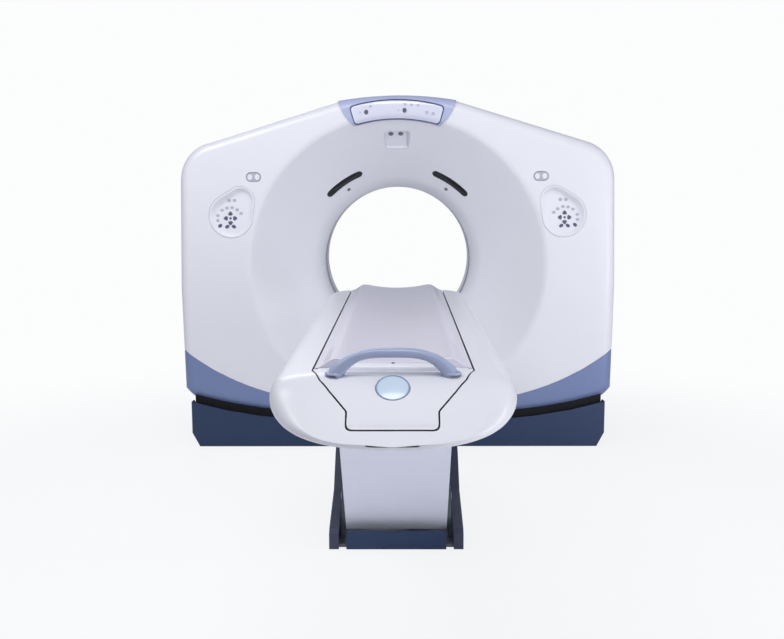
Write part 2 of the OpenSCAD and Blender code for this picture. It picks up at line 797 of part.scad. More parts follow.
// ---------- gantry, rotating pieces ----------
tube_r = 95;
tube_len = 230;
tube_centre = 612;
module rotor_drum() {
    color("silver") at_iso() difference() {
        ring_y() {
            translate([hub_in_r, drum_y]) square([drum_r - hub_in_r, drum_t]);
            translate([drum_r - rim_t, rim_front]) square([rim_t, drum_y + drum_t - rim_front]);
            translate([hub_in_r, drum_y]) square([hub_r - hub_in_r, hub_back - drum_y]);
        }
        for (a = [0 : 30 : 330]) rotate([0, a + 15, 0]) translate([690, 0, 0])
            rod_y(12, drum_y - over, drum_y + drum_t + over);
    }
}
module bearing_inner_race() {
    color("gainsboro") at_iso() ring_y() translate([hub_r, race_y0])
        square([race_split_r - hub_r, race_y1 - race_y0 - run_gap]);
}
module xray_tube() {
    color("gray") at_iso() translate([0, 0, tube_centre]) difference() {
        union() {
            rod_y(tube_r, drum_y - tube_len, drum_y);
            rod_y(tube_r + 12, drum_y - 60, drum_y - 40);
            block(-60, 60, -50, 40, -tube_r - 12, 0);
        }
    }
}
module collimator() {
    color("dimgray") at_iso() difference() {
        block(-90, 90, -50, drum_y, bore_r + 30, tube_centre - tube_r - 12);
        block(-70, 70, -8, 8, bore_r, tube_centre);
    }
}
module ring_box(a0, a1, r0, r1, y0, y1) {
    sector_y(a0, a1) translate([r0, y0]) square([r1 - r0, y1 - y0]);
}
module high_voltage_tanks() {
    color("darkgray") at_iso() both_sides() ring_box(38, 66, 490, 720, -150, drum_y);
}
detector_half_deg = 32;
module detector_arc() {
    color("gray") at_iso() ring_box(180 - detector_half_deg, 180 + detector_half_deg, 600, 690, -70, drum_y);
}
module counterweight() {
    color("slategray") at_iso() ring_box(112, 138, 560, 730, -90, drum_y);
}
slip_y0 = frame_y1 + 5;
slip_y1 = hub_back - 3;
groove = 4;
module slip_ring() {
    count = floor((slip_y1 - slip_y0) / (2 * groove)) - 1;
    color("goldenrod") at_iso() ring_y() difference() {
        translate([hub_r, slip_y0]) square([20, slip_y1 - slip_y0]);
        for (i = [1 : count]) translate([hub_r + 20 - groove, slip_y0 + i * 2 * groove])
            square([groove + over, groove]);
    }
}

// ---------- table base ----------
cheek_x1 = 250;
kick_back = 133;
kick_t = 10;
kick_top = 74;
plate_tail = 270;
cheek_x0 = cheek_x1 - 36;
cheek_wall = 6;
module table_base_frame() {
    color("dimgray") difference() {
        union() {
            block(-cheek_x0, cheek_x0, front_y - kick_back, rear_y + plate_tail,
                base_plate_z, base_plate_top);
            both_sides() for (y = [front_y, rear_y]) along_x(lug_x0, lug_x1) {
                polygon([[y - 60, base_plate_z], [y + 60, base_plate_z], [y + boss_r, pivot_z],
                    [y - boss_r, pivot_z]]);
                translate([y, pivot_z]) circle(boss_r);
            }
        }
        for (y = [front_y, rear_y]) translate([0, y, pivot_z]) rod_x(pin_r + seat_clear, -cheek_x1, cheek_x1);
        for (x = [-1, 1]) for (y = [table_anchor_y0, table_anchor_y1])
            translate([x * table_anchor_x / 2, y, 0]) cylinder(d = anchor_d, h = 2 * base_plate_top);
    }
}
table_anchor_x = 220;
table_anchor_y0 = front_y + 150;
table_anchor_y1 = rear_y + 100;
module table_base_cheeks() {
    nose = front_y - 142;
    tail = rear_y + 280;
    profile = [[nose, base_low_z], [nose + 3, 64], [nose + 22, 80], [nose + 274, 146], [nose + 392, 262],
        [nose + 430, 285], [tail - 30, 285], [tail, 255], [tail, base_low_z]];
    color("midnightblue") both_sides() difference() {
        along_x(cheek_x0, cheek_x1) polygon(profile);
        along_x(cheek_x0 - over, cheek_x1 - cheek_wall) offset(delta = -cheek_wall) polygon(profile);
    }
}
kick_half = 186;
module table_kick_plate() {
    color("midnightblue")
        block(-kick_half, kick_half, front_y - kick_back - kick_t, front_y - kick_back, base_low_z, kick_top);
}
module base_pivot_pins() {
    color("silver") for (y = [front_y, rear_y]) translate([0, y, pivot_z])
        rod_x(pin_r, -lug_x1 - 3, lug_x1 + 3);
}
lift_motor_r = 45;
lift_gear_half = 9;
module lift_gearmotor() {
    color("gray") translate([0, lift_pinion_y, 0]) {
        translate([0, 0, pivot_z]) rod_x(lift_motor_r, 26, 112);
        translate([0, 0, pivot_z]) rod_x(10, -lift_gear_half - 5, 27);
        block(30, 108, -38, 38, base_plate_top, pivot_z);
    }
}
module lift_pinion() {
    color("goldenrod") translate([0, lift_pinion_y, pivot_z]) difference() {
        along_x(-lift_gear_half - 2, lift_gear_half + 2) rotate(180 + 180 / lift_pinion_teeth)
            polygon(teeth_points(lift_pinion_teeth, lift_m, 0, lift_pinion_teeth - 1));
        rod_x(10 + shaft_clear, -20, 20);
    }
}

// ---------- lift arms, drawn along the arm ----------
front_arm_x0 = 118;
front_arm_x1 = 133;
rear_arm_x0 = 148;
rear_arm_x1 = 163;
hub_wall_r = 30;
module arm_bar(x0, x1, half) {
    along_x(x0, x1) {
        circle(boss_r);
        translate([0, -half]) square([arm_l, 2 * half]);
        translate([arm_l, 0]) circle(boss_r);
    }
}
module arm_holes(reach) {
    for (s = [0, arm_l]) translate([0, s, 0]) rod_x(pin_r + shaft_clear, -reach, reach);
}
module lift_arm_front() {
    color("gray") at_arm(front_y) difference() {
        union() {
            both_sides() arm_bar(front_arm_x0, front_arm_x1, 32);
            for (s = [0, arm_l]) translate([0, s, 0]) rod_x(hub_wall_r, -front_arm_x1, front_arm_x1);
            for (s = [260, 480]) translate([0, s, 0]) rod_x(20, -front_arm_x1, front_arm_x1);
            both_sides() for (s = [150, 560])
                block(front_arm_x0, front_arm_x1, s - 20, s + 20, 30, panel_back);
        }
        arm_holes(cheek_x1);
    }
}
panel_face = 120;
panel_t = 4;
panel_back = panel_face - panel_t;
panel_s0 = -42;
panel_s1 = 640;
panel_flange = 45;
module arm_cover_panel() {
    half = panel_w / 2;
    color("lavender") at_arm(front_y) difference() {
        block(-half, half, panel_s0, panel_s1, panel_face - panel_flange, panel_face);
        block(-half + panel_t, half - panel_t, panel_s0 - over, panel_s1 + over,
            panel_face - panel_flange - over, panel_back);
    }
}
lift_first = -12;
lift_last = 7;
module lift_sector_gear() {
    teeth = teeth_points(lift_teeth, lift_m, lift_first, lift_last);
    a0 = lift_first * 360 / lift_teeth - 3;
    a1 = lift_last * 360 / lift_teeth + 3;
    color("darkgray") translate([0, front_y, pivot_z]) difference() {
        along_x(-lift_gear_half, lift_gear_half)
            polygon(concat([polar(50, a0 - 60), polar(lift_r - 12, a0)], teeth,
                [polar(lift_r - 12, a1), polar(50, a1 + 60)],
                [for (a = [a1 + 90 : 30 : a0 + 270]) polar(50, a)]));
        rod_x(hub_wall_r + seat_clear, -20, 20);
    }
}
module lift_arm_rear() {
    color("gray") at_arm(rear_y) difference() {
        union() {
            both_sides() arm_bar(rear_arm_x0, rear_arm_x1, 26);
            for (s = [0, arm_l]) translate([0, s, 0]) rod_x(hub_wall_r - 4, -rear_arm_x1, rear_arm_x1);
            translate([0, 330, 0]) rod_x(16, -rear_arm_x1, rear_arm_x1);
        }
        arm_holes(cheek_x1);
    }
}

// ---------- table top ----------
right_plan = concat(
    [for (a = [-90 : 10 : 0]) [nose_flat_half + (table_half - nose_flat_half) * cos(a),
        tip_y + nose_round + nose_round * sin(a)]],
    [[table_half, end_y - 25], [table_half - 25, end_y]]);
module table_plan(inset = 0) { offset(delta = -inset) polygon(concat(right_plan, mirrored(right_plan))); }
// The table cover's solid form, shrunk by inset
module table_form(inset = 0) {
    hull() {
        translate([0, 0, table_z - inset - over]) linear_extrude(over) intersection() {
            table_plan(rim_inset + inset);
            translate([-table_half, tip_y + nose_l + inset / 2]) square([table_w, table_l]);
        }
        translate([0, 0, max(table_z - nose_drop - inset, floor_z + inset)])
            linear_extrude(over) table_plan(inset);
        translate([0, 0, floor_z + inset]) linear_extrude(over) table_plan(foot_inset + inset);
    }
}
// The outline of the sliding top, grown by the clearance around it
module cradle_plan(grow, y1) {
    offset(delta = grow) polygon([[-taper_half, taper_end], [taper_half, taper_end], [taper_half, taper_y1],
        [cradle_half, taper_y0], [cradle_half, y1], [-cradle_half, y1], [-cradle_half, taper_y0],
        [-taper_half, taper_y1]]);
}
module table_shell() {
    color("whitesmoke") difference() {
        table_form();
        table_form(shell_t);
        translate([0, 0, channel_z]) linear_extrude(shell_h)
            cradle_plan(cradle_gap, end_y + 2 * over + cradle_gap);
        nose_lip(cradle_gap, nose_lip_z - 12, channel_z + over);
        skirt_well(floor_z - over, floor_z + shell_t + over);
    }
}
nose_lip_z = floor_z + 32;
nose_lip_l = 60;
// The block under the nose end of the sliding top, grown by the clearance around it
module nose_lip(grow, z0, z1) {
    block(-taper_half - grow, taper_half + grow, taper_end - grow, taper_end + nose_lip_l + grow, z0, z1);
}
// The open inside of the skirt between two heights
module skirt_well(z0, z1) {
    inner_half = skirt_half - skirt_wall;
    block(-inner_half, inner_half, skirt_y0 + skirt_wall, skirt_y1 - skirt_wall, z0, z1);
}
module table_skirt() {
    depth = 75;
    color("whitesmoke") difference() {
        block(-skirt_half, skirt_half, skirt_y0, skirt_y1, floor_z - depth, floor_z);
        skirt_well(floor_z - depth - over, floor_z + over);
        block(-rear_arm_x1 - 12, rear_arm_x1 + 12, skirt_y1 - skirt_wall - over, skirt_y1 + over,
            floor_z - depth - over, floor_z - 30);
    }
}
top_lug_x0 = 168;
top_lug_x1 = 184;
frame_half = 222;
roller_r = 18;
roller_y = end_y - 110;
roller_z = channel_z + 2 - run_gap - roller_r;
module table_frame() {
    plate_top = frame_plate_z + frame_plate_t;
    color("dimgray") difference() {
        union() {
            block(-frame_half, frame_half, tip_y + 330, end_y - 20, frame_plate_z, plate_top);
            both_sides() {
                block(runner_x0 - 6, runner_x1 + 6, tip_y + 330, end_y - 20, plate_top, runner_z - run_gap);
                for (y = [front_top_y, rear_top_y]) along_x(top_lug_x0, top_lug_x1) {
                    polygon([[y - 60, plate_top], [y - boss_r, top_pivot_z], [y + boss_r, top_pivot_z],
                        [y + 60, plate_top]]);
                    translate([y, top_pivot_z]) circle(boss_r);
                }
            }
        }
        for (y = [front_top_y, rear_top_y]) translate([0, y, top_pivot_z])
            rod_x(pin_r + seat_clear, -frame_half, frame_half);
        block(40, frame_half + over, roller_y - 26, roller_y + 26, frame_plate_z - over, plate_top + over);
        block(40, frame_half + over, roller_y - 26, roller_y + 26, plate_top - over, table_z);
        for (y = [front_top_y, rear_top_y])
            block(-rear_arm_x1 - 3, rear_arm_x1 + 3, y - 50, y + 50, frame_plate_z - over, plate_top + over);
    }
}
module top_pivot_pins() {
    color("silver") for (y = [front_top_y, rear_top_y]) translate([0, y, top_pivot_z])
        rod_x(pin_r, -top_lug_x1 - 3, top_lug_x1 + 3);
}
module cradle_motor() {
    color("gray") translate([0, roller_y, roller_z]) {
        rod_x(roller_r, 60, runner_x0 - 10);
        rod_x(6, 60, runner_x1 + 12);
        block(40, 62, -26, 26, -roller_r, roller_r);
    }
}
module drive_roller() {
    color("darkslategray") translate([0, roller_y, roller_z]) difference() {
        rod_x(roller_r, runner_x0, runner_x1);
        rod_x(6 + shaft_clear, runner_x0 - over, runner_x1 + over);
    }
}

// ---------- sliding top ----------
cradle_y0 = taper_y0 + 8;
trough_half = 118;
module cradle_section() {
    ridge_z = table_z + ridge_rise;
    half_deg = asin(trough_half / trough_r);
    trough = [for (i = [-8 : 8]) let (a = half_deg * i / 8)
        [trough_r * sin(a), ridge_z - trough_r * (cos(a) - cos(half_deg))]];
    polygon(concat([[-cradle_half, cradle_low_z], [-cradle_half, table_z], [-ridge_x - 10, ridge_z - 2],
        [-ridge_x + 8, ridge_z]], trough, [[ridge_x - 8, ridge_z], [ridge_x + 10, ridge_z - 2],
        [cradle_half, table_z], [cradle_half, cradle_low_z]]));
}
module cradle() {
    color("lavender") {
        along_y(cradle_y0, end_y) cradle_section();
        both_sides() block(runner_x0, runner_x1, taper_y0 + 80, end_y, runner_z, cradle_low_z);
    }
}
step_half = 125;
badge_r = 43;
badge_sink = 2;
badge_y = tip_y + 158;
nose_deg = atan(nose_drop / nose_l);
module at_badge() {
    z = table_z - (tip_y + nose_l - badge_y) * tan(nose_deg);
    translate([0, badge_y, z]) rotate([nose_deg, 0, 0]) children();
}
module cradle_foot_cover() {
    color("whitesmoke") difference() {
        union() {
            intersection() {
                table_form();
                union() {
                    translate([0, 0, runner_z]) linear_extrude(shell_h) cradle_plan(0, cradle_y0);
                    nose_lip(0, nose_lip_z, runner_z + over);
                }
            }
            along_y(cradle_y0 - 52, cradle_y0) polygon([
                [-step_half, table_z - 3 * over], [-step_half + 8, table_z + 16],
                [step_half - 8, table_z + 16], [step_half, table_z - 3 * over]]);
        }
        at_badge() translate([0, 0, -badge_sink]) cylinder(r = badge_r, h = 20);
    }
}
module cradle_badge() {
    color("lightblue") at_badge() translate([0, 0, -badge_sink])
        cylinder(r = badge_r - 0.5, h = badge_sink + 2);
}
handle_foot_x = 162;
handle_top_z = table_z + 66;
handle_t = 22;
handle_w = 34;
handle_y = cradle_y0 - 82;
module cradle_handle() {
    drop = handle_top_z - table_z + 6;
    r = (pow(handle_foot_x, 2) + pow(drop, 2)) / (2 * drop);
    color("cornflowerblue") {
        along_y(handle_y - handle_w / 2, handle_y + handle_w / 2) translate([0, handle_top_z - r])
            intersection() {
            difference() {
                circle(r, $fn = 180);
                circle(r - handle_t, $fn = 180);
            }
            translate([-handle_foot_x - 20, r - handle_top_z + table_z])
                square([2 * handle_foot_x + 40, drop + 40]);
        }
        both_sides() translate([handle_foot_x - 9, handle_y, table_z]) cylinder(r = 24, h = 6);
    }
}

gantry_base_frame();
levelling_feet();
stanchions();
tilt_bearings();
base_front_cover();
base_rear_cover();
base_side_covers();
tilt_gearmotor();
floor_cable_duct();
table_base_frame();
table_base_cheeks();
table_kick_plate();
base_pivot_pins();
lift_gearmotor();
tilt_frame();
tilt_trunnions();
tilt_sector_gear();
bearing_outer_race();
front_cover();
lower_band();
rear_cover();
top_cover();
side_covers();
scan_window();
display_bezel();
display_panel();
sensor_pod();
laser_windows();
control_pads();
cover_rails();
rotor_motor();
drive_belt();
brush_block();
rotor_drum();
bearing_inner_race();
xray_tube();
collimator();
high_voltage_tanks();
detector_arc();
counterweight();
slip_ring();
motor_pulley();
tilt_pinion();
lift_pinion();
call_button_left();
call_button_right();
lift_arm_front();
arm_cover_panel();
lift_sector_gear();
lift_arm_rear();
table_frame();
top_pivot_pins();
table_shell();
table_skirt();
cradle_motor();
drive_roller();
cradle();
cradle_foot_cover();
cradle_handle();
cradle_badge();
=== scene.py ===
"""Looks of a tilting-gantry CT scanner with a patient table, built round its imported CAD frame."""
import json
import math

import bmesh
import bpy
from mathutils import Matrix, Vector


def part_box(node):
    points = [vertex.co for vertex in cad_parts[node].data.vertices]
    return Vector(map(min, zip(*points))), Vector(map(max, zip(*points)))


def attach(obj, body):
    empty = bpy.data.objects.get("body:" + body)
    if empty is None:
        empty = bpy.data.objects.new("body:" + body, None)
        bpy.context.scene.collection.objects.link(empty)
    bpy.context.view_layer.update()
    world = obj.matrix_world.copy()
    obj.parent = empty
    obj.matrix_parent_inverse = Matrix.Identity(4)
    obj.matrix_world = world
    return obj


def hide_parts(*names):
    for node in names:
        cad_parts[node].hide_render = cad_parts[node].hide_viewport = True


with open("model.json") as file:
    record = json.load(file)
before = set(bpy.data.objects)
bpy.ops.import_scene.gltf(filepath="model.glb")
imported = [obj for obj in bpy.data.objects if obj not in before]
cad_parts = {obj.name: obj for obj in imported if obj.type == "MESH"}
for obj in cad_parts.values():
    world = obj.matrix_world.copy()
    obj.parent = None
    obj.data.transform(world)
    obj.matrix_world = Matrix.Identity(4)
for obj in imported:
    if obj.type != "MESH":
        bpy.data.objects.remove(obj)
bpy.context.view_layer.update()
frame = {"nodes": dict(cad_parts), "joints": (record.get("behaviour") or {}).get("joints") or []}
NODES = frame["nodes"]
JOINTS = {joint["name"]: joint for joint in frame["joints"]}

# ---------- sizes that the frame gives, in metres ----------
ISO = Vector(JOINTS["gantry_tilt"]["pos_m"])
FACE_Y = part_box("front_cover")[0][1]
REAR_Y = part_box("rear_cover")[1][1]
HALF_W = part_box("side_covers")[1][0]
GANTRY_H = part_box("top_cover")[1][2]
HALF_D = ISO.y - FACE_Y
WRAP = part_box("lower_band")[1][1] - FACE_Y
TABLE_LO, TABLE_HI = (Vector(corner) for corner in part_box("table_shell"))
TIP_Y = TABLE_LO.y

# ---------- sizes of the covers ----------
BORE_R = 0.400
FLARE_R = 0.757
REAR_FLARE_R = 0.650
FLARE_DEG = 45.0
BLEND_R = 0.200
SCAN_HALF = 0.0458
COVER_T = 0.008
SKIN_T = 0.004
EDGE_R = 0.050
LIP_R = 0.050
SEAM = 0.0012
ROOF_DEG = 17.0
SHOULDER_R = 0.200
SIDE_TOP_INSET = 0.016
HEM_HALF_W = HALF_W - 0.049
CROWN_HALF_W = 0.300
CROWN_DROP = 0.025
HEM_MID_Z = 0.155
HEM_SIDE_Z = 0.262
BAND_MID_Z = 0.220
BAND_SIDE_Z = 0.520
HEM_LIP_X0 = 0.590
HEM_LIP_X1 = 1.058
HEM_LIP_DROP = 0.030
TAU = 2 * math.pi


# ---------- mesh helpers ----------
def link(obj):
    bpy.context.scene.collection.objects.link(obj)
    return obj


def duplicate(obj):
    twin = obj.copy()
    twin.data = obj.data.copy()
    return link(twin)


def add_mesh(name, verts, faces, smooth=True):
    mesh = bpy.data.meshes.new(name)
    mesh.from_pydata([tuple(v) for v in verts], [], faces)
    mesh.validate()
    if smooth:
        mesh.polygons.foreach_set("use_smooth", [True] * len(mesh.polygons))
    return link(bpy.data.objects.new(name, mesh))


def face_out(obj):
    """Makes the faces' normals agree and point outwards."""
    bm = bmesh.new()
    bm.from_mesh(obj.data)
    bmesh.ops.remove_doubles(bm, verts=bm.verts, dist=1e-6)
    bmesh.ops.recalc_face_normals(bm, faces=bm.faces)
    bm.to_mesh(obj.data)
    bm.free()
    return obj


def fill_holes(obj):
    """Closes the open rims, then points the faces outwards."""
    bm = bmesh.new()
    bm.from_mesh(obj.data)
    bmesh.ops.holes_fill(bm, edges=bm.edges, sides=0)
    bm.to_mesh(obj.data)
    bm.free()
    return face_out(obj)


def apply_modifiers(obj):
    depsgraph = bpy.context.evaluated_depsgraph_get()
    mesh = bpy.data.meshes.new_from_object(obj.evaluated_get(depsgraph))
    obj.modifiers.clear()
    obj.data = mesh
    return obj


def sharpen(obj, degrees=32):
    """Smooth shading that breaks at edges sharper than the angle."""
    obj.data.polygons.foreach_set("use_smooth", [True] * len(obj.data.polygons))
    obj.data.set_sharp_from_angle(angle=math.radians(degrees))
    return obj


def cut(obj, cutter, operation="DIFFERENCE"):
    modifier = obj.modifiers.new("cut", "BOOLEAN")
    modifier.operation = operation
    modifier.solver = "EXACT"
    modifier.object = cutter
    apply_modifiers(obj)
    bpy.data.objects.remove(cutter)
    return obj


def bevel(obj, width, segments=3, degrees=30):
    modifier = obj.modifiers.new("bevel", "BEVEL")
    modifier.width = width
    modifier.segments = segments
    modifier.limit_method = "ANGLE"
    modifier.angle_limit = math.radians(degrees)
    modifier.harden_normals = True
    return obj


def extrude(name, low, high):
    """A closed body between two rings of points."""
    count = len(low)
    faces = [list(range(count)), list(range(2 * count - 1, count - 1, -1))]
    faces += [(i, i + count, (i + 1) % count + count, (i + 1) % count) for i in range(count)]
    return face_out(add_mesh(name, low + high, faces, smooth=False))


def prism(name, outline, y0, y1):
    """An outline of (x, z) points, extruded from y0 to y1."""
    return extrude(name, [(x, y0, z) for x, z in outline], [(x, y1, z) for x, z in outline])


def slab(name, outline, z0, z1):
    """An outline of (x, y) points, extruded from z0 to z1."""
    return extrude(name, [(x, y, z0) for x, y in outline], [(x, y, z1) for x, y in outline])


def grid(name, rows, closed_rows=True, smooth=True):
    """A surface through rows of points of equal length."""
    width = len(rows[0])
    verts = [p for row in rows for p in row]
    last = width if closed_rows else width - 1
    faces = []
    for i in range(len(rows) - 1):
        for k in range(last):
            nxt = (k + 1) % width
            faces.append((i * width + k, i * width + nxt, (i + 1) * width + nxt, (i + 1) * width + k))
    return add_mesh(name, verts, faces, smooth)


def arc(cx, cy, radius, a0, a1, steps):
    """Points on an arc, angles in degrees from the first axis."""
    angles = [math.radians(a0 + (a1 - a0) * i / steps) for i in range(steps + 1)]
    return [(cx + radius * math.cos(a), cy + radius * math.sin(a)) for a in angles]


def circle(cx, cy, rx, ry, count):
    """Points on a closed ellipse, counted from the first axis."""
    return [(cx + rx * math.cos(TAU * i / count), cy + ry * math.sin(TAU * i / count)) for i in range(count)]


def rect(x0, y0, x1, y1):
    return [(x0, y0), (x1, y0), (x1, y1), (x0, y1)]


def polar(radius, degrees):
    a = math.radians(degrees)
    return radius * math.cos(a), radius * math.sin(a)


def rounded_outline(corners, radius, steps=6):
    """A closed outline with each corner rounded."""
    out = []
    count = len(corners)
    for i in range(count):
        here = Vector(corners[i])
        before = Vector(corners[i - 1]) - here
        after = Vector(corners[(i + 1) % count]) - here
        half = before.angle(after) / 2
        back = min(radius / math.tan(half), before.length * 0.49, after.length * 0.49)
        start = here + before.normalized() * back
        end = here + after.normalized() * back
        for k in range(steps + 1):
            t = k / steps
            out.append(tuple(start * (1 - t) ** 2 + here * 2 * t * (1 - t) + end * t * t))
    return out


def join(name, objects):
    """One object from several, with their materials kept."""
    bm = bmesh.new()
    materials = []
    for obj in objects:
        first = len(bm.faces)
        bm.from_mesh(obj.data)
        bm.faces.ensure_lookup_table()
        slots = list(obj.data.materials) or [None]
        for face in bm.faces[first:]:
            material = slots[min(face.material_index, len(slots) - 1)]
            if material not in materials:
                materials.append(material)
            face.material_index = materials.index(material)
    mesh = bpy.data.meshes.new(name)
    bm.to_mesh(mesh)
    bm.free()
    for material in materials:
        mesh.materials.append(material)
    for obj in objects:
        bpy.data.objects.remove(obj)
    return link(bpy.data.objects.new(name, mesh))


# ---------- materials ----------
def add_node(tree, kind, **values):
    """A shader node with constants on its sockets; an underscore in a name stands for a space."""
    node = tree.nodes.new("ShaderNode" + kind)
    for socket, value in values.items():
        node.inputs[socket.replace("_", " ")].default_value = value
    return node


def wire(tree, *runs):
    """Links, each given as node, output, node, input."""
    for source, output, target, socket in runs:
        tree.links.new(source.outputs[output], target.inputs[socket])


def material(name, color, roughness, coat=0.0, metallic=0.0, bump=0.02, grain=900.0, blotch=0.03, blotch_scale=3.0,
             scratch=0.0):
    """Moulded plastic, paint or metal: fine grain in the bump, slow variation in colour and gloss."""
    mat = bpy.data.materials.new(name)
    mat.use_nodes = True
    tree = mat.node_tree
    shader = tree.nodes["Principled BSDF"]
    shader.inputs["Metallic"].default_value = metallic
    shader.inputs["Coat Weight"].default_value = coat
    shader.inputs["Coat Roughness"].default_value = 0.12
    place = add_node(tree, "TexCoord")
    slow = add_node(tree, "TexNoise", Scale=blotch_scale, Detail=4.0)
    tint = add_node(tree, "Mix")
    tint.data_type = "RGBA"
    tint.inputs["A"].default_value = (*[c * (1 - blotch) for c in color], 1)
    tint.inputs["B"].default_value = (*[min(1.0, c * (1 + blotch * 0.6)) for c in color], 1)
    gloss = add_node(tree, "MapRange", To_Min=max(0.02, roughness - 0.05), To_Max=min(1.0, roughness + 0.06))
    fine = add_node(tree, "TexNoise", Scale=grain, Detail=3.0)
    relief = add_node(tree, "Bump", Strength=bump, Distance=0.0006)
    wire(tree, (place, "Object", slow, "Vector"), (slow, "Fac", tint, "Factor"),
         (tint, "Result", shader, "Base Color"), (slow, "Fac", gloss, "Value"),
         (gloss, "Result", shader, "Roughness"), (fine, "Fac", relief, "Height"),
         (relief, "Normal", shader, "Normal"))
    if scratch:
        stretch = add_node(tree, "Mapping", Scale=(1.0, scratch, 1.0))
        wire(tree, (place, "Object", stretch, "Vector"), (stretch, "Vector", fine, "Vector"))
    else:
        wire(tree, (place, "Object", fine, "Vector"))
    return mat


WHITE = material("white_cover", (0.785, 0.785, 0.845), 0.38, coat=0.25)
CRADLE_SKIN = material("cradle_skin", (0.69, 0.67, 0.77), 0.34, coat=0.2, blotch=0.05)
BAND = material("blue_band", (0.170, 0.225, 0.42), 0.36, coat=0.25)
BEZEL = material("bezel_blue", (0.43, 0.47, 0.68), 0.36, coat=0.25)
DISPLAY = material("display", (0.70, 0.71, 0.84), 0.18, coat=0.5, grain=300)
NAVY = material("navy", (0.0130, 0.034, 0.098), 0.42, coat=0.1, bump=0.05)
BLACK_GLASS = material("window_black", (0.002, 0.002, 0.005), 0.32, coat=0.1, bump=0.01)
HANDLE_BLUE = material("handle_blue", (0.35, 0.40, 0.57), 0.35, coat=0.25)
BADGE = material("badge", (0.60, 0.71, 0.85), 0.22, coat=0.5)
BADGE_RIM = material("badge_rim", (0.26, 0.34, 0.50), 0.30, coat=0.4)
PANEL_GREY = material("panel_grey", (0.82, 0.84, 0.95), 0.40, coat=0.15, bump=0.05)
# Cheeks: a lighter, greyer copy of the base navy; the extra lightness is a painted highlight.
CHEEK_NAVY_PAINTED_HIGHLIGHT = material("cheek_navy_painted_highlight", (0.040, 0.048, 0.090), 0.42, coat=0.1, bump=0.05)
KEY_DARK = material("key_dark", (0.10, 0.10, 0.17), 0.45)
EYE_GREY = material("eye_grey", (0.16, 0.16, 0.22), 0.35, coat=0.3)
KEY_GREY = material("key_grey", (0.46, 0.46, 0.54), 0.45)
OUTLINE_BLUE = material("outline_blue", (0.065, 0.085, 0.18), 0.35)
RECESS = material("recess_white", (0.78, 0.78, 0.85), 0.42)
FRAME_PAINT = material("frame_paint", (0.10, 0.11, 0.13), 0.50, bump=0.08, grain=500)
STEEL = material("machined_steel", (0.55, 0.56, 0.58), 0.28, metallic=1.0, bump=0.08, scratch=40.0)
CAST = material("cast_aluminium", (0.60, 0.61, 0.63), 0.45, metallic=1.0, bump=0.25, grain=260)
RUBBER = material("rubber", (0.02, 0.02, 0.022), 0.75, bump=0.15, grain=400)
MOTOR = material("motor_paint", (0.035, 0.037, 0.042), 0.40, coat=0.2, bump=0.06)
BRASS = material("brass", (0.72, 0.52, 0.22), 0.25, metallic=1.0, bump=0.05, scratch=40.0)
FILM = material("scan_film", (0.34, 0.34, 0.42), 0.22, coat=0.3)
# Near-black for the hem flanges: partly a dark seal, partly painted shade for the shadow gap under the band.
HEM_SEAL_AND_SHADE = material("hem_seal_and_painted_shade", (0.0015, 0.002, 0.006), 0.8)


def paint(obj, mat):
    obj.data.materials.clear()
    obj.data.materials.append(mat)
    return obj


def repaint(node, mat):
    """Gives a CAD node its material through its slots."""
    for slot in NODES[node].material_slots:
        slot.material = mat


# ---------- the gantry's outline about the bore's centre ----------
def hem_z(x):
    share = min(abs(x) / HEM_HALF_W, 1.0)
    return HEM_MID_Z + (HEM_SIDE_Z - HEM_MID_Z) * share ** 3


def band_z(x):
    return BAND_MID_Z + (BAND_SIDE_Z - BAND_MID_Z) * (abs(x) / HALF_W) ** 3


def half_outline():
    roof = math.radians(ROOF_DEG)
    normal = (math.sin(roof), math.cos(roof))
    crown = (CROWN_HALF_W, GANTRY_H - CROWN_DROP)
    shoulder_x = HALF_W - SIDE_TOP_INSET - SHOULDER_R
    along = normal[0] * crown[0] + normal[1] * crown[1]
    shoulder_z = (along - SHOULDER_R - normal[0] * shoulder_x) / normal[1]
    points = [(HEM_HALF_W * i / 40, hem_z(HEM_HALF_W * i / 40)) for i in range(41)]
    points += [(HALF_W - 0.010, HEM_SIDE_Z + 0.040), (HALF_W, ISO.z)]
    points += arc(shoulder_x, shoulder_z, SHOULDER_R, 0, 90 - ROOF_DEG, 24)
    for i in range(12, -1, -1):
        share = i / 12
        points.append((CROWN_HALF_W * share, GANTRY_H - CROWN_DROP * share ** 2))
    return points, shoulder_z


RIGHT_HALF, SHOULDER_Z = half_outline()
OUTLINE = [(x, z - ISO.z) for x, z in RIGHT_HALF]
OUTLINE += [(-x, z) for x, z in reversed(OUTLINE[1:-1])]


def outline_edges():
    """Each edge's outward normal and its distance from the bore's centre."""
    edges = []
    for i, here in enumerate(OUTLINE):
        there = OUTLINE[(i + 1) % len(OUTLINE)]
        dx, dz = there[0] - here[0], there[1] - here[1]
        length = math.hypot(dx, dz)
        if length > 1e-6:
            normal = (dz / length, -dx / length)
            edges.append((normal, normal[0] * here[0] + normal[1] * here[1]))
    return edges


EDGES = outline_edges()


def reach(angle, inset):
    """Distance from the bore's centre to the outline moved in by inset, at an angle from +X."""
    ux, uz = math.cos(angle), math.sin(angle)
    best = 10.0
    for (nx, nz), distance in EDGES:
        facing = nx * ux + nz * uz
        if facing > 1e-6:
            best = min(best, (distance - inset) / facing)
    return best


def cover_angles():
    angles = {round(TAU * i / 360, 5) for i in range(360)}
    angles |= {round(math.atan2(z, x) % TAU, 5) for x, z in OUTLINE[::2]}
    kept = []
    for a in sorted(angles):
        if not kept or a - kept[-1] > 0.004:
            kept.append(a)
    return kept


ANGLES = cover_angles()


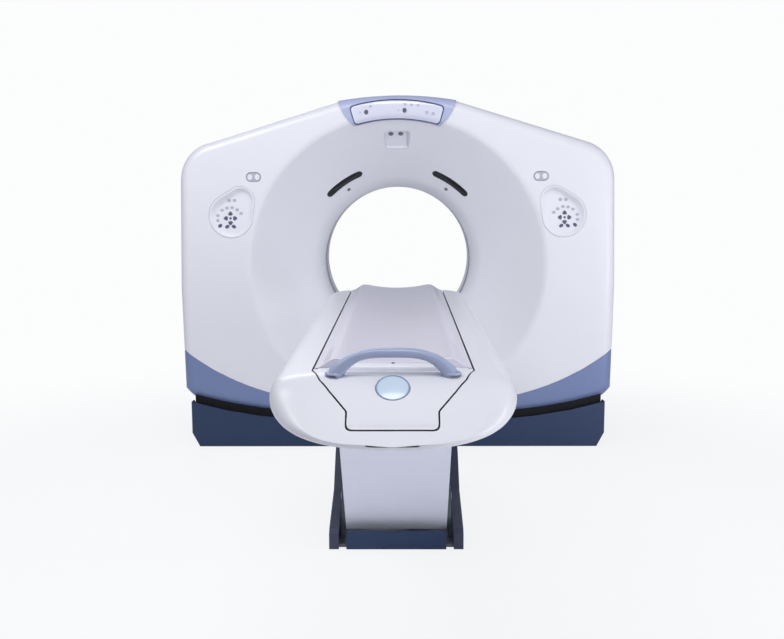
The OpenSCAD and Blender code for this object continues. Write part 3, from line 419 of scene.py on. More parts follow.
def flare_profile(mouth_r, inner_s):
    """Radius and distance from the bore's centre, from the bore out to the face, with a rounded lip."""
    slope = math.radians(FLARE_DEG)
    rise = BLEND_R * (1 - math.cos(slope))
    run = BLEND_R * math.sin(slope)
    cone_end = HALF_D - (mouth_r - BORE_R - rise) / math.tan(slope)
    start = cone_end - run
    points = [(BORE_R, inner_s), (BORE_R, (inner_s + start) / 2)]
    for i in range(13):
        a = slope * i / 12
        points.append((BORE_R + BLEND_R * (1 - math.cos(a)), start + BLEND_R * math.sin(a)))
    lip_back = LIP_R * math.tan(slope / 2)
    centre = (mouth_r + lip_back, HALF_D - LIP_R)
    lip = []
    for i in range(9):
        a = math.pi - slope - (math.pi / 2 - slope) * i / 8
        lip.append((centre[0] + LIP_R * math.cos(a), centre[1] + LIP_R * math.sin(a)))
    for i in range(1, 10):
        t = i / 10
        points.append(tuple(p + (q - p) * t for p, q in zip(points[14], lip[0])))
    return points + lip


def outer_profile(angle, mouth_r, proud=0.0):
    """Radius and distance from the bore's centre, from the flare's lip over the face to the end of the side wall."""
    lip_r = mouth_r + LIP_R * math.tan(math.radians(FLARE_DEG) / 2)
    flat = max(reach(angle, EDGE_R - proud), lip_r + 0.002)
    points = [(lip_r + (flat - lip_r) * t, HALF_D + proud) for t in (0.2, 0.5, 0.8)]
    for i in range(11):
        turn = math.pi / 2 * i / 10
        radius = max(reach(angle, EDGE_R * (1 - math.sin(turn)) - proud), lip_r + 0.0060 + 0.0001 * i)
        points.append((radius, HALF_D - EDGE_R * (1 - math.cos(turn)) + proud))
    for s in (HALF_D - EDGE_R - 0.03, HALF_D - WRAP + 0.003, HALF_D - WRAP):
        points.append((reach(angle, -proud + (0.0015 if s == HALF_D - WRAP else 0.0)), s))
    return points


def cover_point(angle, radius, s, side):
    return (radius * math.cos(angle), ISO.y + side * s, ISO.z + radius * math.sin(angle))


def thicken(skin, thickness):
    thick = skin.modifiers.new("wall", "SOLIDIFY")
    thick.thickness = thickness
    thick.offset = -1.0
    return apply_modifiers(skin)


def cover_skin(name, mouth_r, side, proud=0.0, angles=None):
    """The front (side -1) or rear (side 1) cover as one skin from the bore to the end of its side walls.
    With angles, only that part of it."""
    closed = angles is None
    angles = angles or ANGLES
    rows = [[cover_point(a, radius, s + proud, side) for a in angles]
            for radius, s in flare_profile(mouth_r, SCAN_HALF + 0.0008)]
    outer = [outer_profile(a, mouth_r, proud) for a in angles]
    for i in range(len(outer[0])):
        rows.append([cover_point(a, *points[i], side) for a, points in zip(angles, outer)])
    return thicken(face_out(grid(name, rows, closed_rows=closed)), SKIN_T)


def above_band(angle, radius):
    x, z = radius * math.cos(angle), ISO.z + radius * math.sin(angle)
    return z > band_z(x)


def halve(low, high, low_side):
    """The value between low and high at which low_side stops holding."""
    for _ in range(40):
        mid = (low + high) / 2
        low, high = (mid, high) if low_side(mid) else (low, mid)
    return high


def build_band():
    first = halve(math.pi, 1.5 * math.pi, lambda a: above_band(a, reach(a, 0.0)))
    last = 3 * math.pi - first
    inside = [a for a in ANGLES if first + 0.004 < a < last - 0.004]
    rows = []
    for a in [first, *inside, last]:
        start = max(halve(0.0, reach(a, 0.0), lambda r: above_band(a, r)), LIP_OUT_R + 0.004)
        points = outer_profile(a, FLARE_R)
        kept = []
        for here, there in zip(points, points[1:]):
            if there[0] < start - 1e-7 and not kept:
                continue
            if not kept:
                if here[0] >= start or there[0] - here[0] < 1e-9:
                    kept.append(here)
                else:
                    t = (start - here[0]) / (there[0] - here[0])
                    kept.append((start, here[1] + (there[1] - here[1]) * t))
            kept.append(there)
        rows.append([cover_point(a, radius, s, -1) for radius, s in resample(kept, 22)])
    band = thicken(face_out(grid("lower_band_skin", rows, closed_rows=False)), SKIN_T)
    paint(sharpen(band), BAND)
    bevel(band, 0.0014, 2, 40)
    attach(band, "tilting_gantry")
    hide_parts("lower_band")
    # Near-black flanges behind the band's lower edge: a dark seal whose black is also painted shade for the gap's
    # shadow.
    for side in (-1, 1):
        xs = [side * (HEM_LIP_X0 + (HEM_LIP_X1 - HEM_LIP_X0) * i / 24) for i in range(25)]
        outline = [(x, hem_z(x) + 0.030) for x in xs] + [(x, hem_z(x) - HEM_LIP_DROP) for x in reversed(xs)]
        lip = prism("hem_flange_" + ("left" if side < 0 else "right"), outline, FACE_Y + 0.014, FACE_Y + 0.020)
        paint(sharpen(lip), HEM_SEAL_AND_SHADE)
        bevel(lip, 0.001, 2, 40)
        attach(lip, "tilting_gantry")
        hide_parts("lower_band")


def resample(points, count):
    lengths = [0.0]
    for p, q in zip(points, points[1:]):
        lengths.append(lengths[-1] + math.dist(p, q))
    out = []
    for i in range(count):
        want = lengths[-1] * i / (count - 1)
        k = max(j for j, length in enumerate(lengths[:-1]) if length <= want + 1e-12)
        span = lengths[k + 1] - lengths[k]
        t = 0.0 if span < 1e-12 else min((want - lengths[k]) / span, 1.0)
        out.append(tuple(p + (q - p) * t for p, q in zip(points[k], points[k + 1])))
    return out


# ---------- gantry covers ----------
def band_region(lift, grow=0.05):
    """The outline under the band's upper edge, about the gantry's width."""
    wide = HALF_W + grow
    edge = [(wide * i / 24, band_z(min(abs(wide * i / 24), HALF_W)) + lift) for i in range(-24, 25)]
    return [(-wide, 0.0), *edge, (wide, 0.0)]


LIP_OUT_R = FLARE_R + LIP_R * math.tan(math.radians(FLARE_DEG) / 2)


def egg(side, grow=0.0, steps=96):
    """The control pad's outline about its own centre, as (x, z)."""
    circles = ((0.0, -0.018, 0.112), (-0.050 * side, 0.058, 0.074))
    points = []
    for i in range(steps):
        a = TAU * i / steps
        ux, uz = math.cos(a), math.sin(a)
        cx, cz, radius = max(circles, key=lambda c: c[0] * ux + c[1] * uz + c[2])
        points.append((cx + (radius + grow) * ux, cz + (radius + grow) * uz))
    return points


PAD_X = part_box("control_pads")[1][0] - 0.112
PAD_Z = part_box("control_pads")[0][2] + 0.130
CALL = {side: (Vector(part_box(node)[0]) + Vector(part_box(node)[1])) / 2
        for side, node in ((-1, "call_button_left"), (1, "call_button_right"))}


def oval(grow, steps=24):
    half, radius = 0.014, 0.023 + grow
    return arc(half, 0, radius, -90, 90, steps) + arc(-half, 0, radius, 90, 270, steps)


def on_cone(radial, angle_deg, depth):
    """A point on the front flare's cone: distance from the bore's axis, angle from +X, depth under the surface."""
    slope = math.radians(FLARE_DEG)
    s = HALF_D - (FLARE_R - radial) / math.tan(slope)
    radial += depth * math.cos(slope)
    s -= depth * math.sin(slope)
    a = math.radians(angle_deg)
    return Vector((radial * math.cos(a), ISO.y - s, ISO.z + radial * math.sin(a)))


def cone_patch(name, outline, radial, angle_deg, top, bottom, inset=0.0):
    """A plate on the flare: outline of (along the slope, round the bore) offsets, from depth top to bottom."""
    slope = math.radians(FLARE_DEG)
    centre = Vector((sum(p[0] for p in outline) / len(outline), sum(p[1] for p in outline) / len(outline)))
    rows = []
    for depth, shrink in ((top, inset), (top + inset, 0.0), (bottom, 0.0)):
        row = []
        for up, round_by in outline:
            offset = Vector((up, round_by)) - centre
            offset *= max(0.0, 1 - shrink / max(offset.length, 1e-6))
            here = offset + centre
            r = radial + here.x * math.sin(slope)
            row.append(on_cone(r, angle_deg + math.degrees(here.y / radial), depth))
        rows.append(row)
    verts = [p for row in rows for p in row]
    count = len(outline)
    faces = [list(range(count)), list(range(len(verts) - 1, len(verts) - count - 1, -1))]
    for k in range(2):
        faces += [(k * count + i, k * count + (i + 1) % count, (k + 1) * count + (i + 1) % count,
                   (k + 1) * count + i) for i in range(count)]
    return face_out(add_mesh(name, verts, faces, smooth=False))


def slot_outline(half_len, half_w, steps=10):
    """A round-ended slot along the second axis."""
    straight = half_len - half_w
    run = [straight * (1 - 2 * i / 12) for i in range(1, 12)]
    return (arc(0, straight, half_w, 0, 180, steps) + [(-half_w, y) for y in run]
            + arc(0, -straight, half_w, 180, 360, steps) + [(half_w, -y) for y in run])


LASER_R = 0.508
LASER_MID_DEG = 34.0
LASER_HALF = LASER_R * math.radians(12.5)
LASER_W = 0.021
POD_R = 0.640
POD_HALF = 0.062


def rounded_square(half, corner, steps=6):
    out = []
    for cx, cy, a0 in ((1, 1, 0), (-1, 1, 90), (-1, -1, 180), (1, -1, 270)):
        out += arc(cx * (half - corner), cy * (half - corner), corner, a0, a0 + 90, steps)
    return out


def build_front():
    skin = cover_skin("front_cover_skin", FLARE_R, -1)
    low = prism("cut_low", band_region(SEAM), FACE_Y - 0.05, ISO.y)
    mouth = circle(0.0, ISO.z, LIP_OUT_R + 0.002, LIP_OUT_R + 0.002, 240)
    cut(skin, cut(low, prism("cut_disc", mouth, FACE_Y - 0.1, ISO.y + 0.1)))
    for side in (-1, 1):
        hole = [(side * PAD_X + x, PAD_Z + z) for x, z in egg(side, 0.0006)]
        cut(skin, prism("cut_pad", hole, FACE_Y - 0.05, FACE_Y + 0.06))
        hole = [(CALL[side].x + x, CALL[side].z + z) for x, z in oval(0.0012)]
        cut(skin, prism("cut_call", hole, FACE_Y - 0.05, FACE_Y + 0.06))
        angle = 90 - side * LASER_MID_DEG
        hole = slot_outline(LASER_HALF + 0.001, LASER_W + 0.001)
        cut(skin, cone_patch("cut_laser", hole, LASER_R, angle, -0.01, 0.012))
    cut(skin, cone_patch("cut_pod", rounded_square(POD_HALF + 0.0008, 0.021), POD_R, 90, -0.01, 0.012))
    paint(sharpen(skin), WHITE)
    bevel(skin, 0.0016, 2, 40)
    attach(skin, "tilting_gantry")
    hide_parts("front_cover")


def build_rear():
    skin = cover_skin("rear_cover_skin", REAR_FLARE_R, 1)
    for side in (-1, 1):
        for i in range(15):
            x = side * (0.487 + 0.034 * i)
            slot = [(x + px, ISO.z - 0.500 + pz) for px, pz in slot_outline(0.060, 0.007, 5)]
            cut(skin, prism("cut_vent", slot, REAR_Y - 0.02, REAR_Y + 0.02))
    paint(sharpen(skin), WHITE)
    bevel(skin, 0.0014, 2, 40)
    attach(skin, "tilting_gantry")
    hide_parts("rear_cover")


def wall_loft(name, angles, y0, y1):
    """A cover between two planes that follows the outline over a range of angles, 8 mm thick with eased edges."""
    rows = []
    for y, ease in ((y0, 0.0015), (y0 + 0.0015, 0.0), ((y0 + y1) / 2, 0.0), (y1 - 0.0015, 0.0), (y1, 0.0015)):
        rows.append([(reach(a, ease) * math.cos(a), y, ISO.z + reach(a, ease) * math.sin(a)) for a in angles])
    skin = face_out(grid(name, rows, closed_rows=False))
    middle = angles[len(angles) // 2]
    outward = Vector((math.cos(middle), 0, math.sin(middle)))
    face = min(skin.data.polygons, key=lambda f: (f.center - Vector(rows[2][len(angles) // 2])).length)
    if face.normal.dot(outward) < 0:
        skin.data.flip_normals()
    thicken(skin, COVER_T)
    paint(sharpen(skin), WHITE)
    bevel(skin, 0.0012, 2, 40)
    return skin


def build_mid_covers():
    split_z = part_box("top_cover")[0][2]
    side_lo, side_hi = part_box("side_covers")
    y0, y1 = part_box("top_cover")[0][1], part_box("top_cover")[1][1]

    def angle_at(z):
        return math.asin(max(-1.0, min(1.0, (z - ISO.z) / math.hypot(HALF_W, z - ISO.z))))

    top_a = angle_at(split_z)
    span = [top_a + (math.pi - 2 * top_a) * i / 240 for i in range(241)]
    top = wall_loft("top_cover_skin", span, y0, y1)
    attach(top, "tilting_gantry")
    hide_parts("top_cover")
    low_a, high_a = angle_at(side_lo[2]), angle_at(side_hi[2])
    sides = []
    for side in (1, -1):
        span = [low_a + (high_a - low_a) * i / 40 for i in range(41)]
        if side < 0:
            span = [math.pi - a for a in span]
        sides.append(wall_loft("side_cover_part", span, y0, y1))
    covers = join("side_covers_skin", sides)
    bevel(covers, 0.0012, 2, 40)
    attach(covers, "tilting_gantry")
    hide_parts("side_covers")


def build_bezel():
    """The tinted surround of the display, which follows the flare's lip and the roof's edge."""
    span = [math.radians(55 + 70 * i / 120) for i in range(121)]
    shell = cover_skin("display_bezel_skin", FLARE_R, -1, proud=0.005, angles=span)
    inner = FLARE_R - 0.0255
    lift = GANTRY_H + 0.02
    outline = [(0.304, lift), (0.299, 1.776), (0.293, 1.760), (0.286, 1.742), (0.277, 1.722), (0.267, 1.703),
               (0.255, 1.687), (0.243, 1.673), (0.233, 1.662), (0.224, 1.652), (0.213, 1.646)]
    a_foot = math.acos(0.200 / inner)
    for i in range(15):
        a = a_foot + (math.pi / 2 - a_foot) * i / 14
        outline.append((inner * math.cos(a), ISO.z + inner * math.sin(a)))
    outline += [(-x, z) for x, z in reversed(outline[:-1])]
    keep = prism("keep_bezel", outline, FACE_Y - 0.05, FACE_Y + 0.072)
    cut(shell, keep, "INTERSECT")
    paint(sharpen(shell), BEZEL)
    bevel(shell, 0.004, 3, 45)
    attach(shell, "tilting_gantry")
    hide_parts("display_bezel")


def ring_sector(r0, r1, half_deg, corner, steps=28):
    """A closed (x, z) outline about the bore's centre, centred on straight up, with rounded corners."""
    def side(r, sign):
        half = sign * (half_deg - math.degrees(corner / r))
        return arc(0, 0, r, 90 - half, 90 + half, steps)

    def bend(a, b, r_mid, deg):
        return [tuple((1 - t) ** 2 * p + 2 * t * (1 - t) * q + t * t * s for p, q, s in zip(a, polar(r_mid, deg), b))
                for t in (0.2, 0.4, 0.6, 0.8)]

    upper, lower = side(r1, 1), side(r0, -1)
    left_hi = polar(r1 - corner, 90 + half_deg)
    left_lo = polar(r0 + corner, 90 + half_deg)
    right_lo = (-left_lo[0], left_lo[1])
    right_hi = (-left_hi[0], left_hi[1])
    result = upper + bend(upper[-1], left_hi, r1, 90 + half_deg) + [left_hi, left_lo]
    result += bend(left_lo, lower[0], r0, 90 + half_deg) + lower
    result += bend(lower[-1], right_lo, r0, 90 - half_deg) + [right_lo, right_hi]
    result += bend(right_hi, upper[0], r1, 90 - half_deg)
    return [(x, ISO.z + z) for x, z in result]


def mark(name, outline, y, height, mat):
    """A small raised mark on a face that looks along -Y."""
    return paint(prism(name, outline, y - height, y + 0.001), mat)


def build_display():
    top = FACE_Y - 0.0052 - 0.0010
    span = [math.radians(68 + 44 * i / 88) for i in range(89)]
    rim = cover_skin("display_rim", FLARE_R, -1, proud=0.0068, angles=span)
    through = (FACE_Y - 0.05, FACE_Y + 0.06)
    cut(rim, prism("keep_rim", ring_sector(0.7335, 0.8330, 16.8, 0.022), *through), "INTERSECT")
    cut(rim, prism("cut_rim", ring_sector(0.7395, 0.8270, 16.5, 0.020), *through))
    paint(rim, OUTLINE_BLUE)
    plate = cover_skin("display_plate", FLARE_R, -1, proud=0.0062, angles=span)
    cut(plate, prism("keep_plate", ring_sector(0.7400, 0.8265, 16.4, 0.019), *through), "INTERSECT")
    paint(plate, DISPLAY)
    pieces = [rim, plate]
    size = 0.0105
    for deg, r in ((101.3, 0.784), (87.2, 0.778)):
        x, z = polar(r, deg)
        z += ISO.z
        pieces.append(mark("dot", circle(x, z, size, size * 1.15, 20), top, 0.0012, KEY_DARK))
        pieces.append(mark("wedge", circle(x - 0.030, z, 0.006, 0.007, 3), top, 0.0010, KEY_GREY))
    for deg, r in ((99.4, 0.808), (87.1, 0.807), (84.8, 0.807), (82.5, 0.808), (79.0, 0.780), (76.6, 0.781)):
        x, z = polar(r, deg)
        z += ISO.z
        size = 0.0060 if r > 0.8 else 0.0075
        pieces.append(mark("square", rect(x + size, z + size, x - size, z - size), top, 0.0010, KEY_GREY))
    panel = join("display_panel_face", pieces)
    bevel(panel, 0.0008, 2, 40)
    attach(panel, "tilting_gantry")
    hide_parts("display_panel")


def build_pod():
    """A shallow recess at the top of the flare with two sensor eyes."""
    tray = cone_patch("pod_tray", rounded_square(POD_HALF, 0.020), POD_R, 90, 0.0005, 0.016, inset=0.0015)
    hollow = rounded_square(POD_HALF - 0.004, 0.018)
    cut(tray, cone_patch("pod_hollow", hollow, POD_R, 90, -0.01, 0.0125, inset=0.008))
    paint(tray, RECESS)
    pieces = [tray]
    for dx in (-0.030, 0.018):
        ring = [(0.030 + 0.0125 * math.sin(TAU * i / 24), -dx + 0.0125 * math.cos(TAU * i / 24)) for i in range(24)]
        pieces.append(paint(cone_patch("pod_eye", ring, POD_R, 90, 0.0085, 0.0135, inset=0.001), EYE_GREY))
    pod = join("sensor_pod_face", pieces)
    bevel(pod, 0.0008, 2, 40)
    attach(pod, "tilting_gantry")
    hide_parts("sensor_pod")


def build_lasers():
    pieces = []
    for side in (-1, 1):
        angle = 90 - side * LASER_MID_DEG
        glass = slot_outline(LASER_HALF, LASER_W)
        pieces.append(paint(cone_patch("laser_glass", glass, LASER_R, angle, 0.0008, 0.010, 0.0012), BLACK_GLASS))
        ring = circle(0.0, 0.0, 0.0105, 0.0100, 20)
        pieces.append(paint(cone_patch("laser_dot", ring, 0.465, angle, -0.0010, 0.004, 0.0006), EYE_GREY))
    windows = join("laser_windows_glass", pieces)
    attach(windows, "tilting_gantry")
    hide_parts("laser_windows")


# ---------- control pads and call buttons ----------
PAD_SHALLOW = 0.0022


def pad_floor(x, z, side):
    """Depth of a pad's floor under the face: deepest at the upper outer corner."""
    return max(0.0135 + 0.105 * (side * x + z) / math.sqrt(2), PAD_SHALLOW)


def build_pad(side):
    count = 96
    rows = []
    for grow, depth in ((-0.0004, 0.030), (-0.0004, 0.0012), (-0.0016, -0.0004), (-0.0060, -0.0012),
                        (-0.0100, -0.0004), (-0.0120, 0.0016)):
        rows.append([(PAD_X * side + x, FACE_Y + depth, PAD_Z + z) for x, z in egg(side, grow, count)])
    rim = egg(side, -0.0120, count)
    centre = (-0.012 * side, -0.012)
    inner = []
    for x, z in rim:
        slope = 0.005 + 0.80 * pad_floor(x, z, side)
        run = math.hypot(x - centre[0], z - centre[1])
        inner.append((x + (centre[0] - x) * slope / run, z + (centre[1] - z) * slope / run))
    for drop, t in ((0.50, 0.42), (0.90, 0.86), (1.0, 1.0)):
        row = []
        for (x0, z0), (x1, z1) in zip(rim, inner):
            x, z = x0 + (x1 - x0) * t, z0 + (z1 - z0) * t
            floor = pad_floor(x1, z1, side)
            row.append((PAD_X * side + x, FACE_Y + 0.0016 + (floor - 0.0016) * drop, PAD_Z + z))
        rows.append(row)
    for shrink in (0.8, 0.55, 0.3, 0.05):
        row = []
        for x, z in inner:
            px = centre[0] + (x - centre[0]) * shrink
            pz = centre[1] + (z - centre[1]) * shrink
            row.append((PAD_X * side + px, FACE_Y + pad_floor(px, pz, side), PAD_Z + pz))
        rows.append(row)
    bowl = grid("pad_bowl", rows)
    fill_holes(bowl)
    sharpen(bowl, 40)
    paint(bowl, RECESS)
    pieces = [bowl]

    def key(x, z, outline, mat, height):
        """x counts outwards from the pad's centre on either side."""
        cx, cz = x * side, z
        depth = pad_floor(cx, cz, side)
        ring = [(PAD_X * side + cx + u, PAD_Z + cz + v) for u, v in outline]
        pieces.append(paint(prism("pad_key", ring, FACE_Y + depth - height, FACE_Y + depth + 0.004), mat))

    def turned(points, turn):
        c, s = math.cos(turn), math.sin(turn)
        return [(u * c - v * s, u * s + v * c) for u, v in points]

    def blob(rx, rz, turn=0.0):
        return turned(circle(0.0, 0.0, rx, rz, 20), turn)

    arrow = [(-1.0, -0.30), (-0.45, -0.75), (0.45, -0.75), (1.0, -0.30), (0.55, 0.55), (0.0, 0.95), (-0.55, 0.55)]
    arrow_size, hub_r, raised, flush = 0.0125, 0.0235, 0.0022, 0.0014

    hub = (0.004, -0.030)
    for turn in range(4):
        a = math.pi / 2 * turn
        key(hub[0] + side * hub_r * -math.sin(a), hub[1] + hub_r * math.cos(a),
            [(u * arrow_size, v * arrow_size) for u, v in turned(arrow, a)], KEY_DARK, raised)
    key(*hub, blob(0.006, 0.006), KEY_DARK, raised)
    for x, z, turn in ((0.021, -0.072, 0.5), (-0.013, -0.072, -0.5), (0.058, -0.068, 0.7)):
        key(x, z, blob(0.0115, 0.0085, -turn * side), KEY_DARK, raised)
    for rx, rz, places in (
            (0.0095, 0.0080, ((0.047, 0.011), (0.022, 0.022), (-0.005, 0.024), (-0.031, 0.013), (-0.051, -0.005))),
            (0.0090, 0.0080, ((0.069, -0.016), (0.070, -0.041))),
            (0.0095, 0.0090, ((0.010, 0.060), (-0.018, 0.060)))):
        for x, z in places:
            key(x, z, blob(rx, rz), KEY_GREY, flush)
    return pieces


def build_pads():
    pads = join("control_pads_face", build_pad(-1) + build_pad(1))
    bevel(pads, 0.0006, 2, 50)
    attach(pads, "tilting_gantry")
    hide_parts("control_pads")


def build_call_button(side):
    node = "call_button_left" if side < 0 else "call_button_right"
    at = CALL[side]
    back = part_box(node)[1][1]
    cap = prism("call_cap", [(at.x + x, at.z + z) for x, z in oval(-0.0005)], FACE_Y - 0.0012, back)
    groove = prism("call_groove", [(at.x + x, at.z + z) for x, z in oval(-0.0030)], FACE_Y - 0.01, FACE_Y + 0.0012)
    pieces = [paint(cut(cap, groove), KEY_GREY)]
    for lobe in (-1, 1):
        ring = circle(at.x + lobe * 0.0185, at.z, 0.0125, 0.0150, 32)
        pieces.append(paint(prism("call_lobe", ring, FACE_Y - 0.0010, FACE_Y + 0.003), RECESS))
    bar = rect(at.x + 0.0075, at.z + 0.0110, at.x - 0.0075, at.z - 0.0110)
    pieces.append(paint(prism("call_bar", bar, FACE_Y - 0.0008, FACE_Y + 0.003), KEY_GREY))
    button = join(node + "_cap", pieces)
    bevel(button, 0.0008, 2, 40)
    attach(button, node)
    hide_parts(node)


# ---------- table ----------
TABLE_Z = TABLE_HI.z
TABLE_LOW = TABLE_LO.z
TABLE_HALF = TABLE_HI.x
TABLE_END = TABLE_HI.y
NOSE_L = 0.190
NOSE_DROP = 0.130
CHANNEL = 0.0042
CRADLE_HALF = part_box("cradle")[1][0] - 0.0095
CRADLE_Y0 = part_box("cradle")[0][1] + 0.009
CRADLE_Y1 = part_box("cradle")[1][1]
TAPER_END = TIP_Y + 0.045
TAPER_HALF = 0.1085
TAPER = ((TAPER_HALF, TIP_Y + 0.093), (0.1525, TIP_Y + 0.148), (0.1800, TIP_Y + 0.191), (CRADLE_HALF, TIP_Y + 0.274))


def table_half_width(y):
    """Half width of the table's cover at its widest height."""
    reach_y = min(1.0, max(0.0, (y - TIP_Y) / 0.275))
    flat = 0.070
    return flat + (TABLE_HALF - flat) * math.sqrt(max(0.0, 1 - (1 - reach_y) ** 2.15))


def nose_top(y):
    """Height of the cover's upper surface: it slopes down to the tip, blended at the top."""
    run = (y - TIP_Y) / NOSE_L
    blend = 0.28
    if run >= 1 + blend:
        return TABLE_Z
    line = TABLE_Z - NOSE_DROP * (1 - run)
    if run <= 1 - blend:
        return line
    t = (run - (1 - blend)) / (2 * blend)
    low = TABLE_Z - NOSE_DROP * blend
    return low + (TABLE_Z - low) * (2 * t - t * t)


def table_section(y, count=72):
    """The cover's section across the table, from the lower middle round one side to the other."""
    half = table_half_width(y)
    top = nose_top(y)
    tip_share = min(1.0, max(0.0, (y - TIP_Y) / 0.12))
    low = TABLE_LOW + (1 - math.sqrt(tip_share * (2 - tip_share))) * 0.004
    points = []
    for i in range(count):
        a = TAU * i / count - math.pi / 2
        ca, sa = math.cos(a), math.sin(a)
        power = 5.5 if sa > 0 else 3.0
        scale = (abs(ca) ** power + abs(sa) ** power) ** (-1 / power)
        waist = TABLE_LOW + 0.080
        waist = min(waist, (top + low) / 2 + 0.010)
        lift = (top - waist) if sa > 0 else (waist - low)
        x = half * ca * scale
        z = waist + lift * sa * scale
        if sa > 0:
            x *= 1 - 0.075 * (max(0.0, (z - waist) / max(0.02, top - waist))) ** 1.5
        points.append((x, y, z))
    return points


def table_stations():
    near = [TIP_Y + 0.300 * (i / 34) ** 1.9 for i in range(1, 35)]
    far = [TIP_Y + 0.300 + (TABLE_END - TIP_Y - 0.300) * i / 12 for i in range(1, 13)]
    return near + far


def table_body(name):
    rows = [table_section(y) for y in table_stations()]
    mid_z = sum(p[2] for p in rows[0]) / len(rows[0])
    edge = rows[0]
    for share in (0.75, 0.45, 0.10):
        rows.insert(0, [(p[0] * share, TIP_Y, (p[2] - mid_z) * share + mid_z) for p in edge])
    return fill_holes(grid(name, rows))


def cradle_outline(grow, y1):
    corners = [(-TAPER_HALF, TAPER_END), (TAPER_HALF, TAPER_END), *TAPER, (CRADLE_HALF, y1), (-CRADLE_HALF, y1)]
    corners += [(-x, y) for x, y in reversed(TAPER)]
    flat = rounded_outline(corners, 0.016, 5)
    if grow == 0:
        return flat
    out = []
    count = len(flat)
    for i in range(count):
        a, b, c = Vector(flat[i - 1]), Vector(flat[i]), Vector(flat[(i + 1) % count])
        t = ((b - a).normalized() + (c - b).normalized()).normalized()
        n = Vector((t.y, -t.x))
        lean = max(0.5, n.dot(Vector(((b - a).normalized().y, -(b - a).normalized().x))))
        out.append(tuple(b + n * grow / lean))
    return out


def build_table_shell():
    shell = table_body("table_shell_skin")
    foot = duplicate(shell)
    foot.name = "foot_cover_form"
    frame_lo, frame_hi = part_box("table_frame")
    skirt_lo, skirt_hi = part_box("table_skirt")
    cut(shell, slab("cut_channel", cradle_outline(CHANNEL, TABLE_END + 0.05), TABLE_LOW + 0.045, TABLE_Z + 0.1))
    lip_half = TAPER_HALF + CHANNEL
    lip = rect(-lip_half, TAPER_END - CHANNEL, lip_half, TAPER_END + 0.064)
    cut(shell, slab("cut_lip", rounded_outline(lip, 0.018, 5), TABLE_LOW + 0.024, TABLE_LOW + 0.048))
    well_half = frame_hi[0] + 0.004
    well = rect(-well_half, frame_lo[1] - 0.004, well_half, frame_hi[1] + 0.004)
    cut(shell, slab("cut_well", well, TABLE_LOW + 0.0075, TABLE_LOW + 0.046))
    inner = skirt_hi[0] - 0.008
    hole = rect(-inner, skirt_lo[1] + 0.008, inner, skirt_hi[1] - 0.008)
    cut(shell, slab("cut_hole", hole, TABLE_LOW - 0.02, TABLE_LOW + 0.009))
    paint(sharpen(shell, 34), WHITE)
    bevel(shell, 0.0016, 3, 40)
    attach(shell, "table")
    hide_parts("table_shell")
    return foot


def hump_row(y, top, half, count=41):
    """One section of the step under the handle."""
    row = []
    for i in range(count):
        u = -1 + 2 * i / (count - 1)
        drop = max(0.0, abs(u) ** 14)
        edge = max(0.0, (abs(u) - 0.93) / 0.07)
        height = top * math.sqrt(max(0.0, 1 - edge ** 2)) if edge > 0 else top
        row.append((half * u, y, TABLE_Z - 0.004 + max(0.0, height + 0.004 - 0.001 * drop)))
    return row


BADGE_WELL_R = 0.0436
STEP_HALF = 0.125
STEP_TOP = 0.016


def build_foot_cover(foot):
    tongue = duplicate(foot)
    region = slab("keep_foot", cradle_outline(0.0, CRADLE_Y0 - 0.0012), TABLE_LOW + 0.047, TABLE_Z + 0.1)
    cut(foot, region, "INTERSECT")
    lip = rect(-TAPER_HALF, TAPER_END, TAPER_HALF, TAPER_END + 0.060)
    cut(tongue, slab("keep_lip", rounded_outline(lip, 0.016, 5), TABLE_LOW + 0.032, TABLE_LOW + 0.048), "INTERSECT")
    cut(foot, tongue, "UNION")
    for side in (-1, 1):
        notch = [(side * (CRADLE_HALF - 0.011), CRADLE_Y0 - 0.016), (side * (CRADLE_HALF + 0.02), CRADLE_Y0 - 0.010),
                 (side * (CRADLE_HALF + 0.02), CRADLE_Y0 + 0.02), (side * (CRADLE_HALF - 0.014), CRADLE_Y0 + 0.02)]
        cut(foot, slab("cut_notch", notch, TABLE_Z - 0.030, TABLE_Z + 0.05))
    badge_lo, badge_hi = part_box("cradle_badge")
    mid = (Vector(badge_lo) + Vector(badge_hi)) / 2
    slope = math.atan2(NOSE_DROP, NOSE_L)
    surface = Vector((mid.x, mid.y, nose_top(mid.y)))
    turn = Matrix.Translation(surface) @ Matrix.Rotation(slope, 4, "X")
    well = slab("cut_badge", circle(0.0, 0.0, BADGE_WELL_R, BADGE_WELL_R, 64), -0.003, 0.05)
    well.data.transform(turn)
    cut(foot, well)
    paint(sharpen(foot, 34), WHITE)
    front, back = CRADLE_Y0 - 0.052, CRADLE_Y0 - 0.0012
    rows = [hump_row(front, -0.003, STEP_HALF)]
    for i in range(1, 9):
        t = math.pi / 2 * i / 8
        rows.append(hump_row(front + 0.014 * (1 - math.cos(t)), STEP_TOP * math.sin(t), STEP_HALF))
    for y, height in ((back - 0.003, STEP_TOP), (back, STEP_TOP - 0.003), (back, -0.003)):
        rows.append(hump_row(y, height, STEP_HALF))
    step = fill_holes(grid("foot_step", rows, closed_rows=False))
    paint(sharpen(step, 50), WHITE)
    step_z = TABLE_Z + STEP_TOP
    ring = circle(0.0, CRADLE_Y0 - 0.030, 0.0045, 0.0045, 20)
    stud = paint(slab("foot_stud", ring, step_z - 0.002, step_z + 0.0022), KEY_DARK)
    # A thin grey strip on the step: painted shade standing in for a groove, with no groove cut.
    line = rect(-0.098, CRADLE_Y0 - 0.0225, 0.098, CRADLE_Y0 - 0.0205)
    groove = paint(slab("foot_groove_painted_shade", line, step_z - 0.001, step_z + 0.0005), KEY_GREY)
    cover = join("foot_cover_skin", [foot, step, stud, groove])
    bevel(cover, 0.0014, 3, 40)
    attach(cover, "cradle")
    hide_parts("cradle_foot_cover")
    build_badge(turn)


